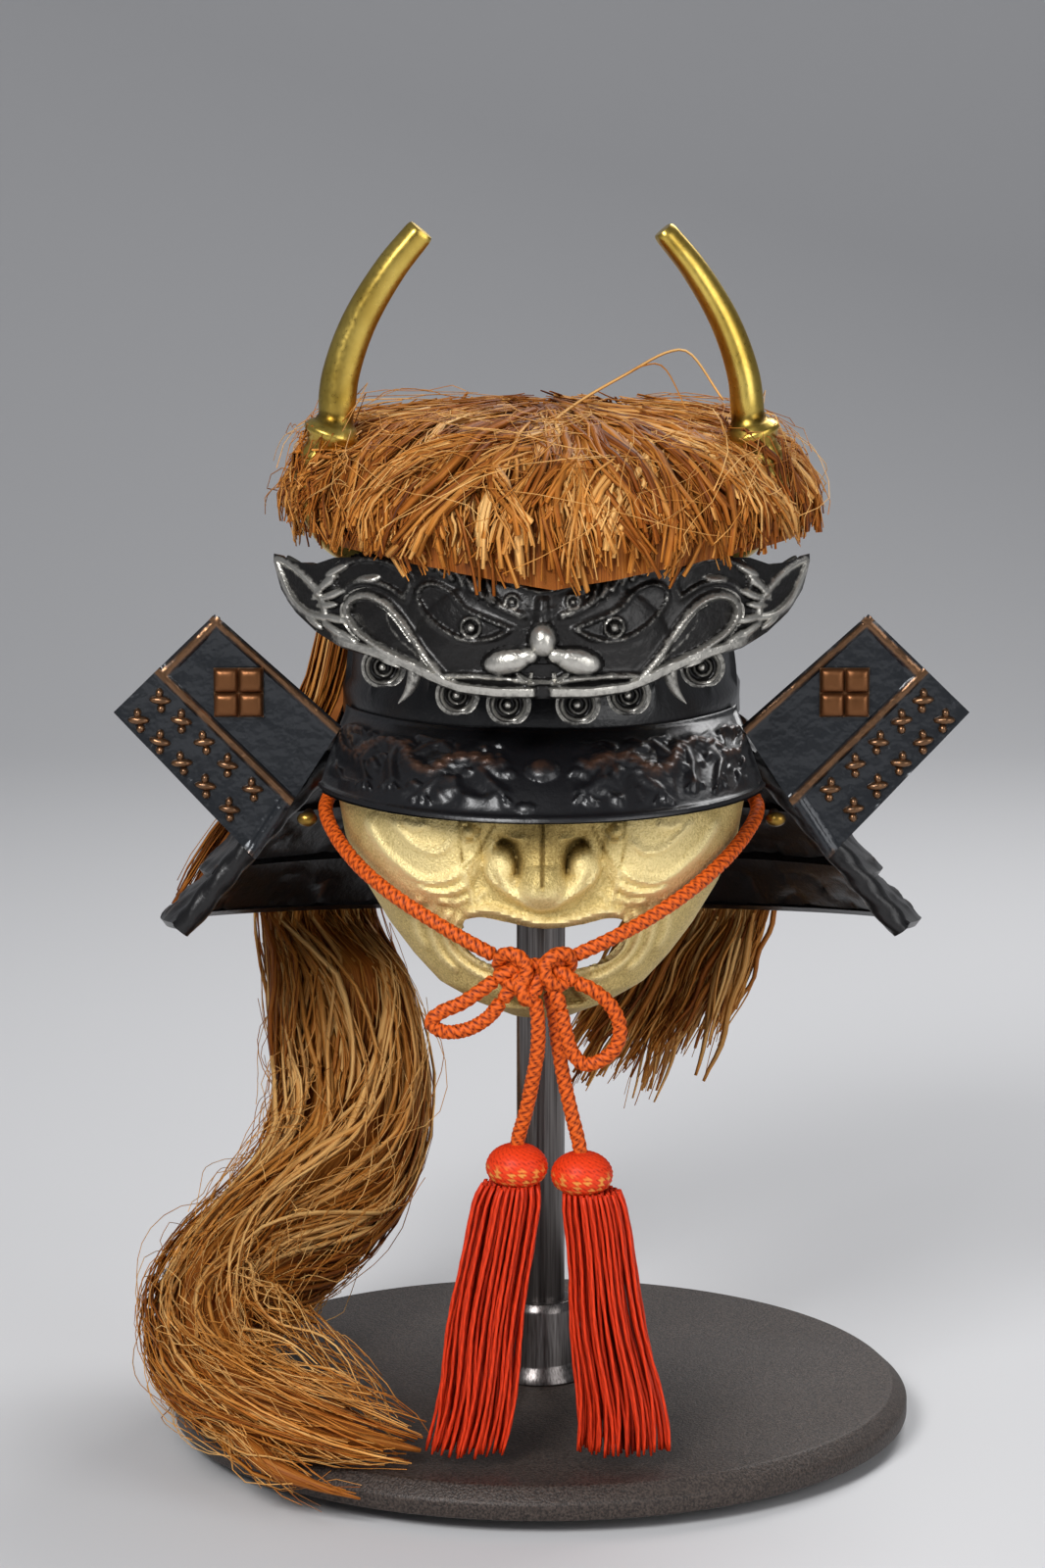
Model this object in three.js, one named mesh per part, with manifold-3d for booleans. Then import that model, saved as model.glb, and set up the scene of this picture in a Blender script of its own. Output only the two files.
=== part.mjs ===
// A samurai helmet (kabuto) with its half mask, chin cord and hair, held up by a round display stand.
// Millimetres, +Z up, +Y to the back. The origin is on the floor, under the centre of the base.
import * as THREE from 'three';
import * as BufferGeometryUtils from 'three/addons/utils/BufferGeometryUtils.js';
import Module from 'manifold-3d';

const wasm = await Module();
wasm.setup();

// ---- driving dimensions ----
const GAP = 0.3;
const BASE = { radius: 107, topRadius: 102.7, top: 13, edge: 9, under: 4.2 };
const FOOT = { inner: 86, outer: 105.5, halfAngle: 17, azimuths: [42, 162, 282] };
const SOCKET = { radius: 10.4, footRadius: 13.5, top: 36.5, bore: 7.3 };
const POST = { radius: 7, bottom: 14, top: 261.5 };
const REST = { radius: 26, bottom: 261.8, edge: 266, crown: 279.2 };
const BOWL = {
  halfWidth: 55.5, halfDepth: 64, centreY: 2, rim: 210, crown: 282, wall: 2, band: 1.2, rib: 1,
};
const VISOR = {
  spread: 72, lipHalfWidth: 64.1, lipFront: -97, lipEnd: -50, lip: 192.6, root: 213, wall: 3,
};
const CREST = { halfWidth: 73.5, front: -88, sweepBack: 48, wall: 4 };
const CHEEK_PLATE = { back: -31.8, wall: 3, border: 1.1 };
const EMBLEM = { size: 13.8, centreX: 84.6, centreZ: 219.3 };
const GUARD = {
  top: 206, bottom: 147, tilt: 12.5, ends: -27, centreY: 2, wall: 3, lames: 4, lap: 2, roll: 3.4,
};
const GUARD_SPREAD = { topHalfWidth: 59, bottomHalfWidth: 108, topHalfDepth: 68, bottomHalfDepth: 93 };
const MASK = { bottom: 134, top: 196, wall: 2 };
const CORD = { diameter: 4, sides: 8 };
const TASSEL = { headRadius: 8.4, headHeight: 12.6, locks: 8, tip: 16 };
const HAIR = { capCentreX: 3, capCentreY: -17, capHalfWidth: 71, capHalfDepth: 80 };

const colour = (hex, roughness, metalness) =>
  new THREE.MeshStandardMaterial({ color: hex, roughness, metalness });
const castBrown = colour(0x2a2320, 0.75, 0.4);
const darkSteel = colour(0x2b2827, 0.4, 0.8);
const blackIron = colour(0x17171a, 0.45, 0.6);
const silveredIron = colour(0x3a3a3a, 0.4, 0.7);
const satinGold = colour(0xa88a35, 0.35, 0.9);
const sandGold = colour(0xc6a85c, 0.55, 0.8);
const copper = colour(0x6b4530, 0.45, 0.8);
const orangeCord = colour(0xd9471a, 0.8, 0);
const hempHair = colour(0xb07a3c, 0.9, 0);

// ---- making solids ----
const radians = THREE.MathUtils.degToRad;
const vector = (x, y, z) => new THREE.Vector3(x, y, z);
const bump = (value, centre, width) => Math.exp(-(((value - centre) / width) ** 2));
const mix = THREE.MathUtils.lerp;

// Points that lie together become one, and faces that this leaves flat are dropped.
function welded(geometry) {
  const bare = geometry.index ? geometry.toNonIndexed() : geometry.clone();
  bare.deleteAttribute('normal');
  bare.deleteAttribute('uv');
  const merged = BufferGeometryUtils.mergeVertices(bare, 1e-3);
  const source = merged.index.array;
  const faces = [];
  for (let i = 0; i < source.length; i += 3) {
    const [a, b, c] = [source[i], source[i + 1], source[i + 2]];
    if (a !== b && b !== c && a !== c) faces.push(a, b, c);
  }
  merged.setIndex(faces);
  return merged;
}

// A closed surface whose faces point inwards is turned outwards.
function outward(geometry) {
  const merged = welded(geometry);
  const index = merged.index.array;
  const corner = (i) => vector().fromBufferAttribute(merged.attributes.position, index[i]);
  let volume = 0;
  for (let i = 0; i < index.length; i += 3) {
    volume += corner(i).dot(corner(i + 1).cross(corner(i + 2)));
  }
  if (volume < 0) merged.setIndex(Array.from(index).reverse());
  return merged;
}

function toSolid(geometry) {
  const merged = outward(geometry);
  return new wasm.Manifold(new wasm.Mesh({
    numProp: 3,
    vertProperties: Float32Array.from(merged.attributes.position.array),
    triVerts: Uint32Array.from(merged.index.array),
  }));
}

function toGeometry(manifold) {
  const { vertProperties, triVerts } = manifold.getMesh();
  const geometry = new THREE.BufferGeometry();
  geometry.setAttribute('position', new THREE.BufferAttribute(Float32Array.from(vertProperties), 3));
  geometry.setIndex(Array.from(triVerts));
  return geometry;
}

const fuse = (...parts) => toGeometry(parts.map(toSolid).reduce((all, part) => all.add(part)));
const cut = (body, ...tools) =>
  toGeometry(tools.map(toSolid).reduce((rest, tool) => rest.subtract(tool), toSolid(body)));

// A wall between two surfaces, each a function of across and up, both from 0 to 1.
function wall(columns, rows, outer, inner, wraps = false) {
  const positions = [];
  const index = [];
  const at = (side, column, row) => (side * (rows + 1) + row) * (columns + 1) + column;
  const quad = (a, b, c, d) => index.push(a, b, c, a, c, d);
  for (const surface of [outer, inner]) {
    for (let row = 0; row <= rows; row++) {
      for (let column = 0; column <= columns; column++) {
        const across = wraps && column === columns ? 0 : column / columns;
        positions.push(...surface(across, row / rows).toArray());
      }
    }
  }
  for (let row = 0; row < rows; row++) {
    for (let column = 0; column < columns; column++) {
      quad(at(0, column, row), at(0, column + 1, row), at(0, column + 1, row + 1), at(0, column, row + 1));
      quad(at(1, column, row), at(1, column, row + 1), at(1, column + 1, row + 1), at(1, column + 1, row));
    }
  }
  for (let column = 0; column < columns; column++) {
    quad(at(0, column, 0), at(1, column, 0), at(1, column + 1, 0), at(0, column + 1, 0));
    quad(at(0, column, rows), at(0, column + 1, rows), at(1, column + 1, rows), at(1, column, rows));
  }
  for (let row = 0; row < rows && !wraps; row++) {
    quad(at(0, 0, row), at(0, 0, row + 1), at(1, 0, row + 1), at(1, 0, row));
    quad(at(0, columns, row), at(1, columns, row), at(1, columns, row + 1), at(0, columns, row + 1));
  }
  const geometry = new THREE.BufferGeometry();
  geometry.setAttribute('position', new THREE.Float32BufferAttribute(positions, 3));
  geometry.setIndex(index);
  return outward(geometry);
}

// A rod along a smooth curve whose radius is a function of the way along and of the angle round it.
function rod(points, steps, sides, radiusAt) {
  const curve = new THREE.CatmullRomCurve3(points, false, 'centripetal');
  const { normals, binormals } = curve.computeFrenetFrames(steps, false);
  const positions = [];
  const index = [];
  for (let step = 0; step <= steps; step++) {
    const centre = curve.getPointAt(step / steps);
    for (let side = 0; side < sides; side++) {
      const angle = (2 * Math.PI * side) / sides;
      const radius = radiusAt(step / steps, angle);
      const arm = normals[step].clone().multiplyScalar(Math.cos(angle) * radius);
      arm.addScaledVector(binormals[step], Math.sin(angle) * radius);
      positions.push(...centre.clone().add(arm).toArray());
    }
  }
  const first = positions.length / 3;
  positions.push(...curve.getPointAt(0).toArray(), ...curve.getPointAt(1).toArray());
  for (let side = 0; side < sides; side++) {
    const next = (side + 1) % sides;
    for (let step = 0; step < steps; step++) {
      const [low, high] = [step * sides, (step + 1) * sides];
      index.push(low + side, low + next, high + next, low + side, high + next, high + side);
    }
    index.push(first, next, side, first + 1, steps * sides + side, steps * sides + next);
  }
  const geometry = new THREE.BufferGeometry();
  geometry.setAttribute('position', new THREE.Float32BufferAttribute(positions, 3));
  geometry.setIndex(index);
  return outward(geometry);
}

function lathe(profile, sides) {
  const points = profile.map(([radius, z]) => new THREE.Vector2(radius, z));
  return outward(new THREE.LatheGeometry(points, sides).rotateX(Math.PI / 2));
}

function ball(centre, radii, sides = 8, rings = 6) {
  const geometry = new THREE.SphereGeometry(1, sides, rings);
  return outward(geometry.scale(radii[0], radii[1], radii[2]).translate(...centre));
}

// A flat outline in the XZ plane, thickened from its back face towards the front.
function plate(outline, back, thickness, holes = []) {
  const toShape = (loop) => loop.map(([x, z]) => new THREE.Vector2(x, z));
  const shape = new THREE.Shape(toShape(outline));
  shape.holes = holes.map((loop) => new THREE.Path(toShape(loop)));
  const geometry = new THREE.ExtrudeGeometry(shape, { depth: thickness, bevelEnabled: false });
  return outward(geometry.rotateX(Math.PI / 2).translate(0, back, 0));
}

const mirrored = (geometry) => outward(geometry.clone().scale(-1, 1, 1));

const helmet = new THREE.Group();
function piece(name, geometry, material) {
  const mesh = new THREE.Mesh(outward(geometry), material);
  mesh.name = name;
  helmet.add(mesh);
}

// ---- display stand: a cast round base on three feet, a socket, a post and a pad under the crown ----
function footSector(azimuth) {
  const from = radians(azimuth - FOOT.halfAngle - 90);
  const to = radians(azimuth + FOOT.halfAngle - 90);
  const shape = new THREE.Shape();
  shape.absarc(0, 0, FOOT.outer, from, to, false);
  shape.absarc(0, 0, FOOT.inner, to, from, true);
  const depth = BASE.under + GAP;
  return new THREE.ExtrudeGeometry(shape, { depth, bevelEnabled: false, curveSegments: 5 });
}
const baseDisc = lathe([
  [0, BASE.under], [BASE.radius - 1.5, BASE.under], [BASE.radius, BASE.under + 1.5],
  [BASE.radius, BASE.edge], [BASE.topRadius, BASE.top], [0, BASE.top],
], 36);
piece('base', fuse(baseDisc, ...FOOT.azimuths.map(footSector)), castBrown);

piece('post_socket', lathe([
  [SOCKET.bore, BASE.top + GAP], [SOCKET.footRadius, BASE.top + GAP], [SOCKET.radius + 0.8, BASE.top + 5],
  [SOCKET.radius, SOCKET.top - 2.5], [SOCKET.radius - 1.2, SOCKET.top], [SOCKET.bore, SOCKET.top],
  [SOCKET.bore, BASE.top + GAP],
], 16), darkSteel);

piece('post', lathe([
  [0, POST.bottom], [POST.radius, POST.bottom], [POST.radius, POST.top], [0, POST.top],
], 16), darkSteel);

piece('head_rest', lathe([
  [0, REST.bottom], [REST.radius - 3, REST.bottom], [REST.radius, REST.edge], [20, 271.5], [10, 276.5],
  [0, REST.crown],
], 20), castBrown);

// ---- bowl: a dome with standing ribs and a plain band round its rim, open below ----
const RIBS = 16;
// A point of the dome, where extra stands out from the plain ellipse or, below zero, cuts into it.
function bowlPoint(across, up, extra, drop) {
  const angle = across * 2 * Math.PI;
  const climb = (up * Math.PI) / 2;
  const out = extra * Math.cos(climb);
  return vector(
    (BOWL.halfWidth * Math.cos(climb) + out) * Math.sin(angle),
    BOWL.centreY - (BOWL.halfDepth * Math.cos(climb) + out) * Math.cos(angle),
    mix(BOWL.rim, BOWL.crown, Math.sin(climb) ** 0.833) - drop,
  );
}
function bowlOuter(across, up) {
  const rib = Math.round(across * RIBS * 2) % 2 ? BOWL.rib : 0;
  return bowlPoint(across, up, up < 0.08 ? BOWL.band : rib, 0);
}
function bowlInner(across, up) {
  const drop = up < 0.02 ? 0 : BOWL.wall * Math.sin((up * Math.PI) / 2);
  return bowlPoint(across, up, -BOWL.wall, drop);
}
piece('bowl', wall(RIBS * 2, 7, bowlOuter, bowlInner, true), blackIron);

// ---- visor: a brim that slopes down from the bowl's rim, with two dragons and a pearl in relief ----
function visorPoint(across, out, lift) {
  const angle = radians((across * 2 - 1) * VISOR.spread);
  const side = Math.sin(angle);
  const atEnds = Math.cos(radians(VISOR.spread));
  const inFront = (Math.cos(angle) - atEnds) / (1 - atEnds);
  const root = vector(
    (BOWL.halfWidth + 1.7) * side, BOWL.centreY - (BOWL.halfDepth + 1.7) * Math.cos(angle), VISOR.root,
  );
  const lip = vector(
    VISOR.lipHalfWidth * side, mix(VISOR.lipEnd, VISOR.lipFront, inFront),
    VISOR.lip + 1.9 * (1 - inFront),
  );
  const point = root.lerp(lip, out);
  point.z += 3 * Math.sin(Math.PI * out) * mix(0.2, 1, inFront) + lift;
  point.y -= 2 * Math.sin(Math.PI * out) * inFront;
  return point;
}
const visorTop = (across, out) => visorPoint(across, out, out > 0.9 ? 0.9 : 0);
const visorBottom = (across, out) => visorPoint(across, out, -VISOR.wall);
function dragonBody(side) {
  const points = [];
  for (let knot = 0; knot <= 8; knot++) {
    const along = knot / 8;
    const across = 0.5 + side * mix(0.07, 0.4, along);
    points.push(visorPoint(across, 0.5 + 0.2 * Math.sin(along * 3 * Math.PI), -0.3));
  }
  return rod(points, 10, 4, (along) => mix(2.6, 1, along));
}
const pearl = visorPoint(0.5, 0.5, 0).toArray();
piece('visor', fuse(
  wall(20, 4, visorTop, visorBottom), dragonBody(-1), dragonBody(1), ball(pearl, [3.5, 2.6, 3], 6, 4),
), blackIron);

// ---- crest: the wide face of a lion demon, one casting, carried by a stub behind it ----
const crestOutline = [
  { x: 0, low: 221.5, high: 262 }, { x: 22, low: 221, high: 262 }, { x: 40, low: 226, high: 261 },
  { x: 53, low: 234.5, high: 260 }, { x: 62, low: 239.5, high: 259.5 }, { x: 68, low: 245, high: 259 },
  { x: 73.5, low: 256.5, high: 258.5 },
];
function tableAt(table, key, value, column) {
  const next = Math.max(1, table.findIndex((row) => row[key] >= value));
  const [a, b] = [table[next - 1], table[next]];
  return mix(a[column], b[column], THREE.MathUtils.clamp((value - a[key]) / (b[key] - a[key]), 0, 1));
}
function crestRelief(x, z) {
  const half = Math.abs(x);
  const low = tableAt(crestOutline, 'x', half, 'low');
  const lip = 2.6 * bump(z, low + 4, 3.5);
  const eyeLobe = 4 * bump(half, 24, 9) * bump(z, 246 + (half - 24) * 0.35, 4.5);
  const cheek = 3.6 * bump(half, 46, 9) * bump(z, 243 + (half - 46) * 0.5, 6);
  const muzzle = 4.5 * bump(x, 0, 15) * bump(z, 234, 9);
  return (lip + eyeLobe + cheek + muzzle) * (half > 70 ? 0.2 : 1) * (z > 255 ? 0.4 : 1);
}
function crestPoint(across, up, depth) {
  const x = (across * 2 - 1) * CREST.halfWidth;
  const z = mix(
    tableAt(crestOutline, 'x', Math.abs(x), 'low'), tableAt(crestOutline, 'x', Math.abs(x), 'high'), up,
  );
  const y = CREST.front + CREST.sweepBack * (x / CREST.halfWidth) ** 2;
  return vector(x, y + depth - (depth ? 0 : crestRelief(x, z)), z);
}
const onCrest = (x, lift) => CREST.front + CREST.sweepBack * (x / CREST.halfWidth) ** 2 - lift;
const crestParts = [
  wall(24, 6, (across, up) => crestPoint(across, up, 0), (across, up) => crestPoint(across, up, CREST.wall)),
  ball([0, onCrest(0, 5), 241], [4, 4, 4.6], 6, 4),
  new THREE.BoxGeometry(12, 24, 8).translate(0, -74.5, 240),
];
const pendantCurls = [
  { x: 9.4, z: 222, r: 4.8 }, { x: 22.6, z: 223.5, r: 4.6 }, { x: 42.8, z: 231.5, r: 4.8 },
];
for (const side of [-1, 1]) {
  crestParts.push(ball([side * 8.5, onCrest(8, 5.2), 235], [6.5, 2.6, 3.4], 6, 4));
  crestParts.push(ball([side * 18, onCrest(18, 2.2), 243.5], [3, 2.4, 3], 6, 4));
  for (const curl of pendantCurls) {
    crestParts.push(ball([side * curl.x, onCrest(curl.x, 0), curl.z], [curl.r, 2.6, curl.r], 6, 4));
  }
  const fang = new THREE.ConeGeometry(2.4, 13, 6).rotateX(-Math.PI / 2).rotateY(-side * 0.3);
  crestParts.push(fang.translate(side * 35, onCrest(35, -1), 226));
}
piece('crest_plate', fuse(...crestParts), silveredIron);

// ---- horns: curved tapering rods with stepped rings at the foot, pegged into the bowl's sides ----
const HORN_ROUTE = [
  [45.4, -24, 257], [51.5, -31, 259.5], [58, -40, 265.5], [61.5, -46, 275], [60, -49, 285], [56.3, -50, 295],
  [54.5, -51, 308], [49.6, -52, 322], [41, -54, 336.5], [32.4, -55, 347.2],
];
const hornPoints = (side) => HORN_ROUTE.map(([x, y, z]) => vector(side * x, y, z));
const hornRadius = (along) =>
  5.3 - 1.8 * along ** 2 + bump(along, 0, 0.1) + 3 * bump(along, 0.46, 0.03);
const horn = (side) => rod(hornPoints(side), 24, 7, hornRadius);
const hornClearance = (side) => rod(hornPoints(side), 10, 6, () => 10);
piece('horn_left', horn(-1), satinGold);
piece('horn_right', horn(1), satinGold);

// ---- cheek plates: squares turned back from the neck guard, with raised borders and a divided panel ----
const plateCorners = {
  top: [89, 241], outer: [116.5, 213.5], bottom: [79.5, 172.5], inner: [55.5, 209.8],
};
const between = (a, b, t) => [mix(a[0], b[0], t), mix(a[1], b[1], t)];
function strip(from, to, width) {
  const along = new THREE.Vector2(to[0] - from[0], to[1] - from[1]).normalize();
  const across = new THREE.Vector2(-along.y, along.x).multiplyScalar(width / 2);
  const back = CHEEK_PLATE.back - CHEEK_PLATE.wall + GAP;
  const corner = ([x, z], way) => [x + way * across.x, z + way * across.y];
  return plate(
    [corner(from, 1), corner(to, 1), corner(to, -1), corner(from, -1)], back, CHEEK_PLATE.border + GAP,
  );
}
function cheekPlate() {
  const { top, outer, bottom, inner } = plateCorners;
  const body = plate([top, outer, bottom, inner], CHEEK_PLATE.back, CHEEK_PLATE.wall);
  const inset = (a, b, t, c, d, s) => between(between(a, b, t), between(c, d, t), s);
  return fuse(
    body,
    strip(inset(top, inner, 0.03, outer, bottom, 0.03), inset(top, inner, 0.97, outer, bottom, 0.03), 2.4),
    strip(inset(top, inner, 0.03, outer, bottom, 0.03), inset(top, inner, 0.03, outer, bottom, 0.97), 2.4),
    strip(inset(top, inner, 0.97, outer, bottom, 0.06), inset(top, inner, 0.97, outer, bottom, 0.94), 2.4),
    strip(inset(top, inner, 0.03, outer, bottom, 0.6), inset(top, inner, 0.97, outer, bottom, 0.6), 2.6),
  );
}
piece('cheek_plate_right', cheekPlate(), blackIron);
piece('cheek_plate_left', mirrored(cheekPlate()), blackIron);

// ---- emblems: four square cushions in one small casting on each cheek plate ----
function emblem(side) {
  const back = CHEEK_PLATE.back - CHEEK_PLATE.wall - GAP;
  const [x, z] = [side * EMBLEM.centreX, EMBLEM.centreZ];
  const half = EMBLEM.size / 2;
  const square = (cx, cz, r) => [[cx - r, cz - r], [cx + r, cz - r], [cx + r, cz + r], [cx - r, cz + r]];
  const parts = [plate(square(x, z, half), back, 1)];
  for (const [dx, dz] of [[-1, -1], [1, -1], [1, 1], [-1, 1]]) {
    const cushion = new THREE.CylinderGeometry(2.1, (half / 2 - 0.2) * Math.SQRT2, 1.4, 4);
    cushion.rotateY(Math.PI / 4).rotateX(Math.PI);
    parts.push(cushion.translate(x + (dx * half) / 2, back - 1.5, z + (dz * half) / 2));
  }
  return fuse(...parts);
}
piece('emblem_right', emblem(1), copper);
piece('emblem_left', emblem(-1), copper);

// ---- neck guard: lapped lames that flare from the bowl's rim round the back, with rolled front ends ----
function guardPoint(across, down, lift) {
  const halfWidth = mix(GUARD_SPREAD.topHalfWidth, GUARD_SPREAD.bottomHalfWidth, down ** 0.9);
  const halfDepth = mix(GUARD_SPREAD.topHalfDepth, GUARD_SPREAD.bottomHalfDepth, down);
  const reach = Math.acos((GUARD.ends - GUARD.centreY) / halfDepth);
  const angle = (across * 2 - 1) * reach;
  return vector(
    (halfWidth + lift) * Math.sin(angle),
    GUARD.centreY + (halfDepth + lift) * Math.cos(angle),
    mix(GUARD.top, GUARD.bottom - GUARD.tilt * Math.cos(angle), down) + lift * 0.4,
  );
}
const GUARD_ROWS = GUARD.lames * 2;
const lapAt = (down) => {
  const row = Math.round(down * GUARD_ROWS);
  const lame = Math.floor(row / 2);
  return { depth: Math.min(1, (lame + (row % 2 ? 0.94 : 0)) / GUARD.lames), lift: row % 2 ? GUARD.lap : 0 };
};
const guardOuter = (across, down) => guardPoint(across, lapAt(down).depth, lapAt(down).lift);
const guardInner = (across, down) => guardPoint(across, lapAt(down).depth, -GUARD.wall);
const guardRoll = (across) => {
  const points = [0.12, 0.35, 0.6, 0.8, 1].map((down) => guardPoint(across, down, -1));
  return rod(points, 4, 6, () => GUARD.roll);
};
piece('neck_guard', fuse(
  wall(20, GUARD_ROWS, guardOuter, guardInner), guardRoll(0), guardRoll(1),
), blackIron);

// The room that hair leaves round the guard's lower half.
const guardRoom = wall(
  20, 1, (across, down) => guardPoint(across, mix(0.5, 1.02, down), GUARD.lap + 2),
  (across, down) => guardPoint(across, mix(0.5, 1.02, down), -GUARD.wall - 1.5),
);

function rivet(side) {
  const peg = rod([vector(side * 66.2, -31, 184.5), vector(side * 65, -40, 184.5)], 1, 6, () => 1.4);
  return fuse(peg, ball([side * 65, -40, 184.5], [3, 2.2, 3], 6, 4));
}
piece('rivet_left', rivet(-1), satinGold);
piece('rivet_right', rivet(1), satinGold);

// ---- half mask: a thin casting with nose, cheeks, lips and chin, and a mouth that is cut through ----
const maskSections = [
  { z: 134, halfWidth: 9, front: -67, back: -59 }, { z: 138, halfWidth: 19, front: -73, back: -57 },
  { z: 143, halfWidth: 28.5, front: -76, back: -54 }, { z: 150, halfWidth: 35.5, front: -77.5, back: -50 },
  { z: 158, halfWidth: 42, front: -78.5, back: -46 }, { z: 168, halfWidth: 48.5, front: -79, back: -42 },
  { z: 180, halfWidth: 54, front: -80, back: -38 }, { z: 196, halfWidth: 57, front: -81, back: -35 },
];
function maskRelief(x, z) {
  const half = Math.abs(x);
  const nose = 8 * bump(x, 0, 7.5) * (z < 173 ? bump(z, 173, 4) : mix(1, 0.55, (z - 173) / 23));
  const nostril = 5 * bump(half, 11.5, 4.5) * bump(z, 176, 5.5);
  const cheek = 3 * bump(half, 32, 9) * bump(z, 174, 9);
  const upperLip = 2 * bump(z, 162.6 + 1.5 * (half / 22) ** 2, 2.2) * (half < 26 ? 1 : 0);
  const jaw = 1.8 * bump(Math.hypot(half / 27, (z - 157) / 13), 1, 0.16) * (z < 160 ? 1 : 0);
  const chin = 2.5 * bump(x, 0, 11) * bump(z, 141, 4);
  return nose + nostril + cheek + upperLip + jaw + chin;
}
function maskPoint(across, up, depth) {
  const z = mix(MASK.bottom, MASK.top, up);
  const angle = radians((across * 2 - 1) * 90);
  const [halfWidth, front, back] =
    ['halfWidth', 'front', 'back'].map((column) => tableAt(maskSections, 'z', z, column));
  const bow = Math.cos(angle) ** 0.8;
  const x = (halfWidth - depth * (1 - bow)) * Math.sin(angle);
  const y = mix(back, front, bow) - maskRelief(x, z) * bow + depth * bow;
  return vector(x, y, z);
}
const mouth = [
  [-21.5, 161], [-11, 159.6], [0, 159], [11, 159.6], [21.5, 161], [22.3, 157], [19, 152], [13, 149.4],
  [-13, 149.4], [-19, 152], [-22.3, 157],
];
piece('face_mask', cut(
  wall(22, 10, (across, up) => maskPoint(across, up, 0), (across, up) => maskPoint(across, up, MASK.wall)),
  plate(mouth, -60, 40),
), sandGold);

piece('mask_bracket', new THREE.BoxGeometry(7, 68, 5).translate(0, -POST.radius - GAP - 34, 172), darkSteel);

// ---- chin cord: one braided cord of the whole loop, its knot, two bows, two ends and their tassels ----
const CHIN_ROUTE = [
  [-12.6, -83.6, 154.5], [-21, -81.2, 158.6], [-31, -77, 163.8], [-41, -71.2, 169.4], [-49.5, -62.6, 175],
  [-56.6, -50, 181.4], [-60, -38, 186.6], [-59.2, -26, 189.8], [-57.6, -9, 195], [-56.6, 12.9, 198],
  [-49.8, 33.5, 198], [-37, 50.3, 198], [-19.7, 61.2, 198], [0, 65, 198], [19.7, 61.2, 198], [37, 50.3, 198],
  [49.8, 33.5, 198], [56.6, 12.9, 198], [57.6, -9, 195], [59.2, -26, 189.8], [60, -38, 186.6],
  [55.4, -52.2, 181.4], [48, -64.6, 175.6], [39, -73, 169.6], [29, -78, 163.8], [18, -82, 158.6],
  [8.6, -83.6, 154.5],
];
const LEFT_BOW_ROUTE = [
  [-12.4, -88, 149], [-16.5, -88.4, 146], [-21.9, -88.4, 142.4], [-27, -88.2, 140.1], [-29.8, -88, 137.4],
  [-27, -87.8, 134.8], [-20.5, -88, 135.2], [-14.5, -88, 138.6], [-10.8, -88, 143.2],
];
const RIGHT_BOW_ROUTE = [
  [8.8, -88, 148.2], [13, -88.6, 146.6], [18.2, -89, 142.2], [20.8, -89, 136.2], [19.8, -89, 130.9],
  [15.7, -89, 127], [11.3, -89, 126], [8.2, -89, 129], [6.3, -88.8, 134.8], [5, -88.4, 141],
];
const LEFT_END_ROUTE = [
  [-2, -88.6, 144], [-1.2, -88.4, 138], [-1.2, -87.8, 130], [-2.6, -86.6, 121], [-4.4, -85.2, 112],
  [-6.4, -84.2, 104.6],
];
const RIGHT_END_ROUTE = [
  [2, -82.4, 144.6], [3.2, -82.4, 138], [4.4, -82.6, 129], [6, -83, 120], [8, -83.6, 111], [10, -84, 102.8],
];
function cordTube(route, steps) {
  const radius = CORD.diameter / 2;
  const section = new THREE.Shape();
  for (let side = 0; side < CORD.sides; side++) {
    const angle = (2 * Math.PI * side) / CORD.sides;
    section[side ? 'lineTo' : 'moveTo'](radius * Math.cos(angle), radius * Math.sin(angle));
  }
  const points = route.map((point) => vector(...point));
  const extrudePath = new THREE.CatmullRomCurve3(points, false, 'centripetal');
  return new THREE.ExtrudeGeometry(section, { steps, extrudePath, bevelEnabled: false });
}
piece('chin_cord', cordTube(CHIN_ROUTE, 40), orangeCord);
piece('bow_left', cordTube(LEFT_BOW_ROUTE, 11), orangeCord);
piece('bow_right', cordTube(RIGHT_BOW_ROUTE, 12), orangeCord);
piece('cord_end_left', cordTube(LEFT_END_ROUTE, 6), orangeCord);
piece('cord_end_right', cordTube(RIGHT_END_ROUTE, 6), orangeCord);
piece('cord_knot', fuse(
  ball([-7, -85.6, 152], [4.6, 4.4, 4.8], 8, 5), ball([3.2, -85.6, 152], [4.6, 4.4, 4.8], 8, 5),
  ball([-2, -86, 150.6], [4.4, 4.4, 4], 6, 4),
), orangeCord);

// A tassel: a knitted head like a flat ball, and a skirt of locks round a core.
function tassel(head, skirtTop, skirtEnd) {
  const [x, y, z] = head;
  const half = TASSEL.headHeight / 2;
  const skirtPoint = (side, outwards, down) => {
    const angle = (2 * Math.PI * side) / TASSEL.locks;
    const halfWidth = mix(skirtTop.halfWidth, skirtEnd.halfWidth, down) * outwards;
    const halfDepth = mix(7, 7.6, down) * outwards;
    return vector(
      mix(skirtTop.x, skirtEnd.x, down) + halfWidth * Math.cos(angle),
      y + halfDepth * Math.sin(angle),
      mix(z - half + 2, TASSEL.tip + (side % 3) * 0.8, down),
    );
  };
  const core = rod([skirtPoint(0, 0, -0.02), skirtPoint(0, 0, 0.5), skirtPoint(0, 0, 0.96)], 1, 6,
    (along) => mix(7.2, 5.4, along));
  const parts = [ball(head, [TASSEL.headRadius, TASSEL.headRadius, half], 10, 6), core];
  for (let side = 0; side < TASSEL.locks; side++) {
    const points = [0, 0.16, 0.6, 1].map((down) => skirtPoint(side, down ? 0.74 : 0.45, down));
    parts.push(rod(points, 2, 4, (along) => mix(3.3, 2.7, along)));
  }
  return fuse(...parts);
}
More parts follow.
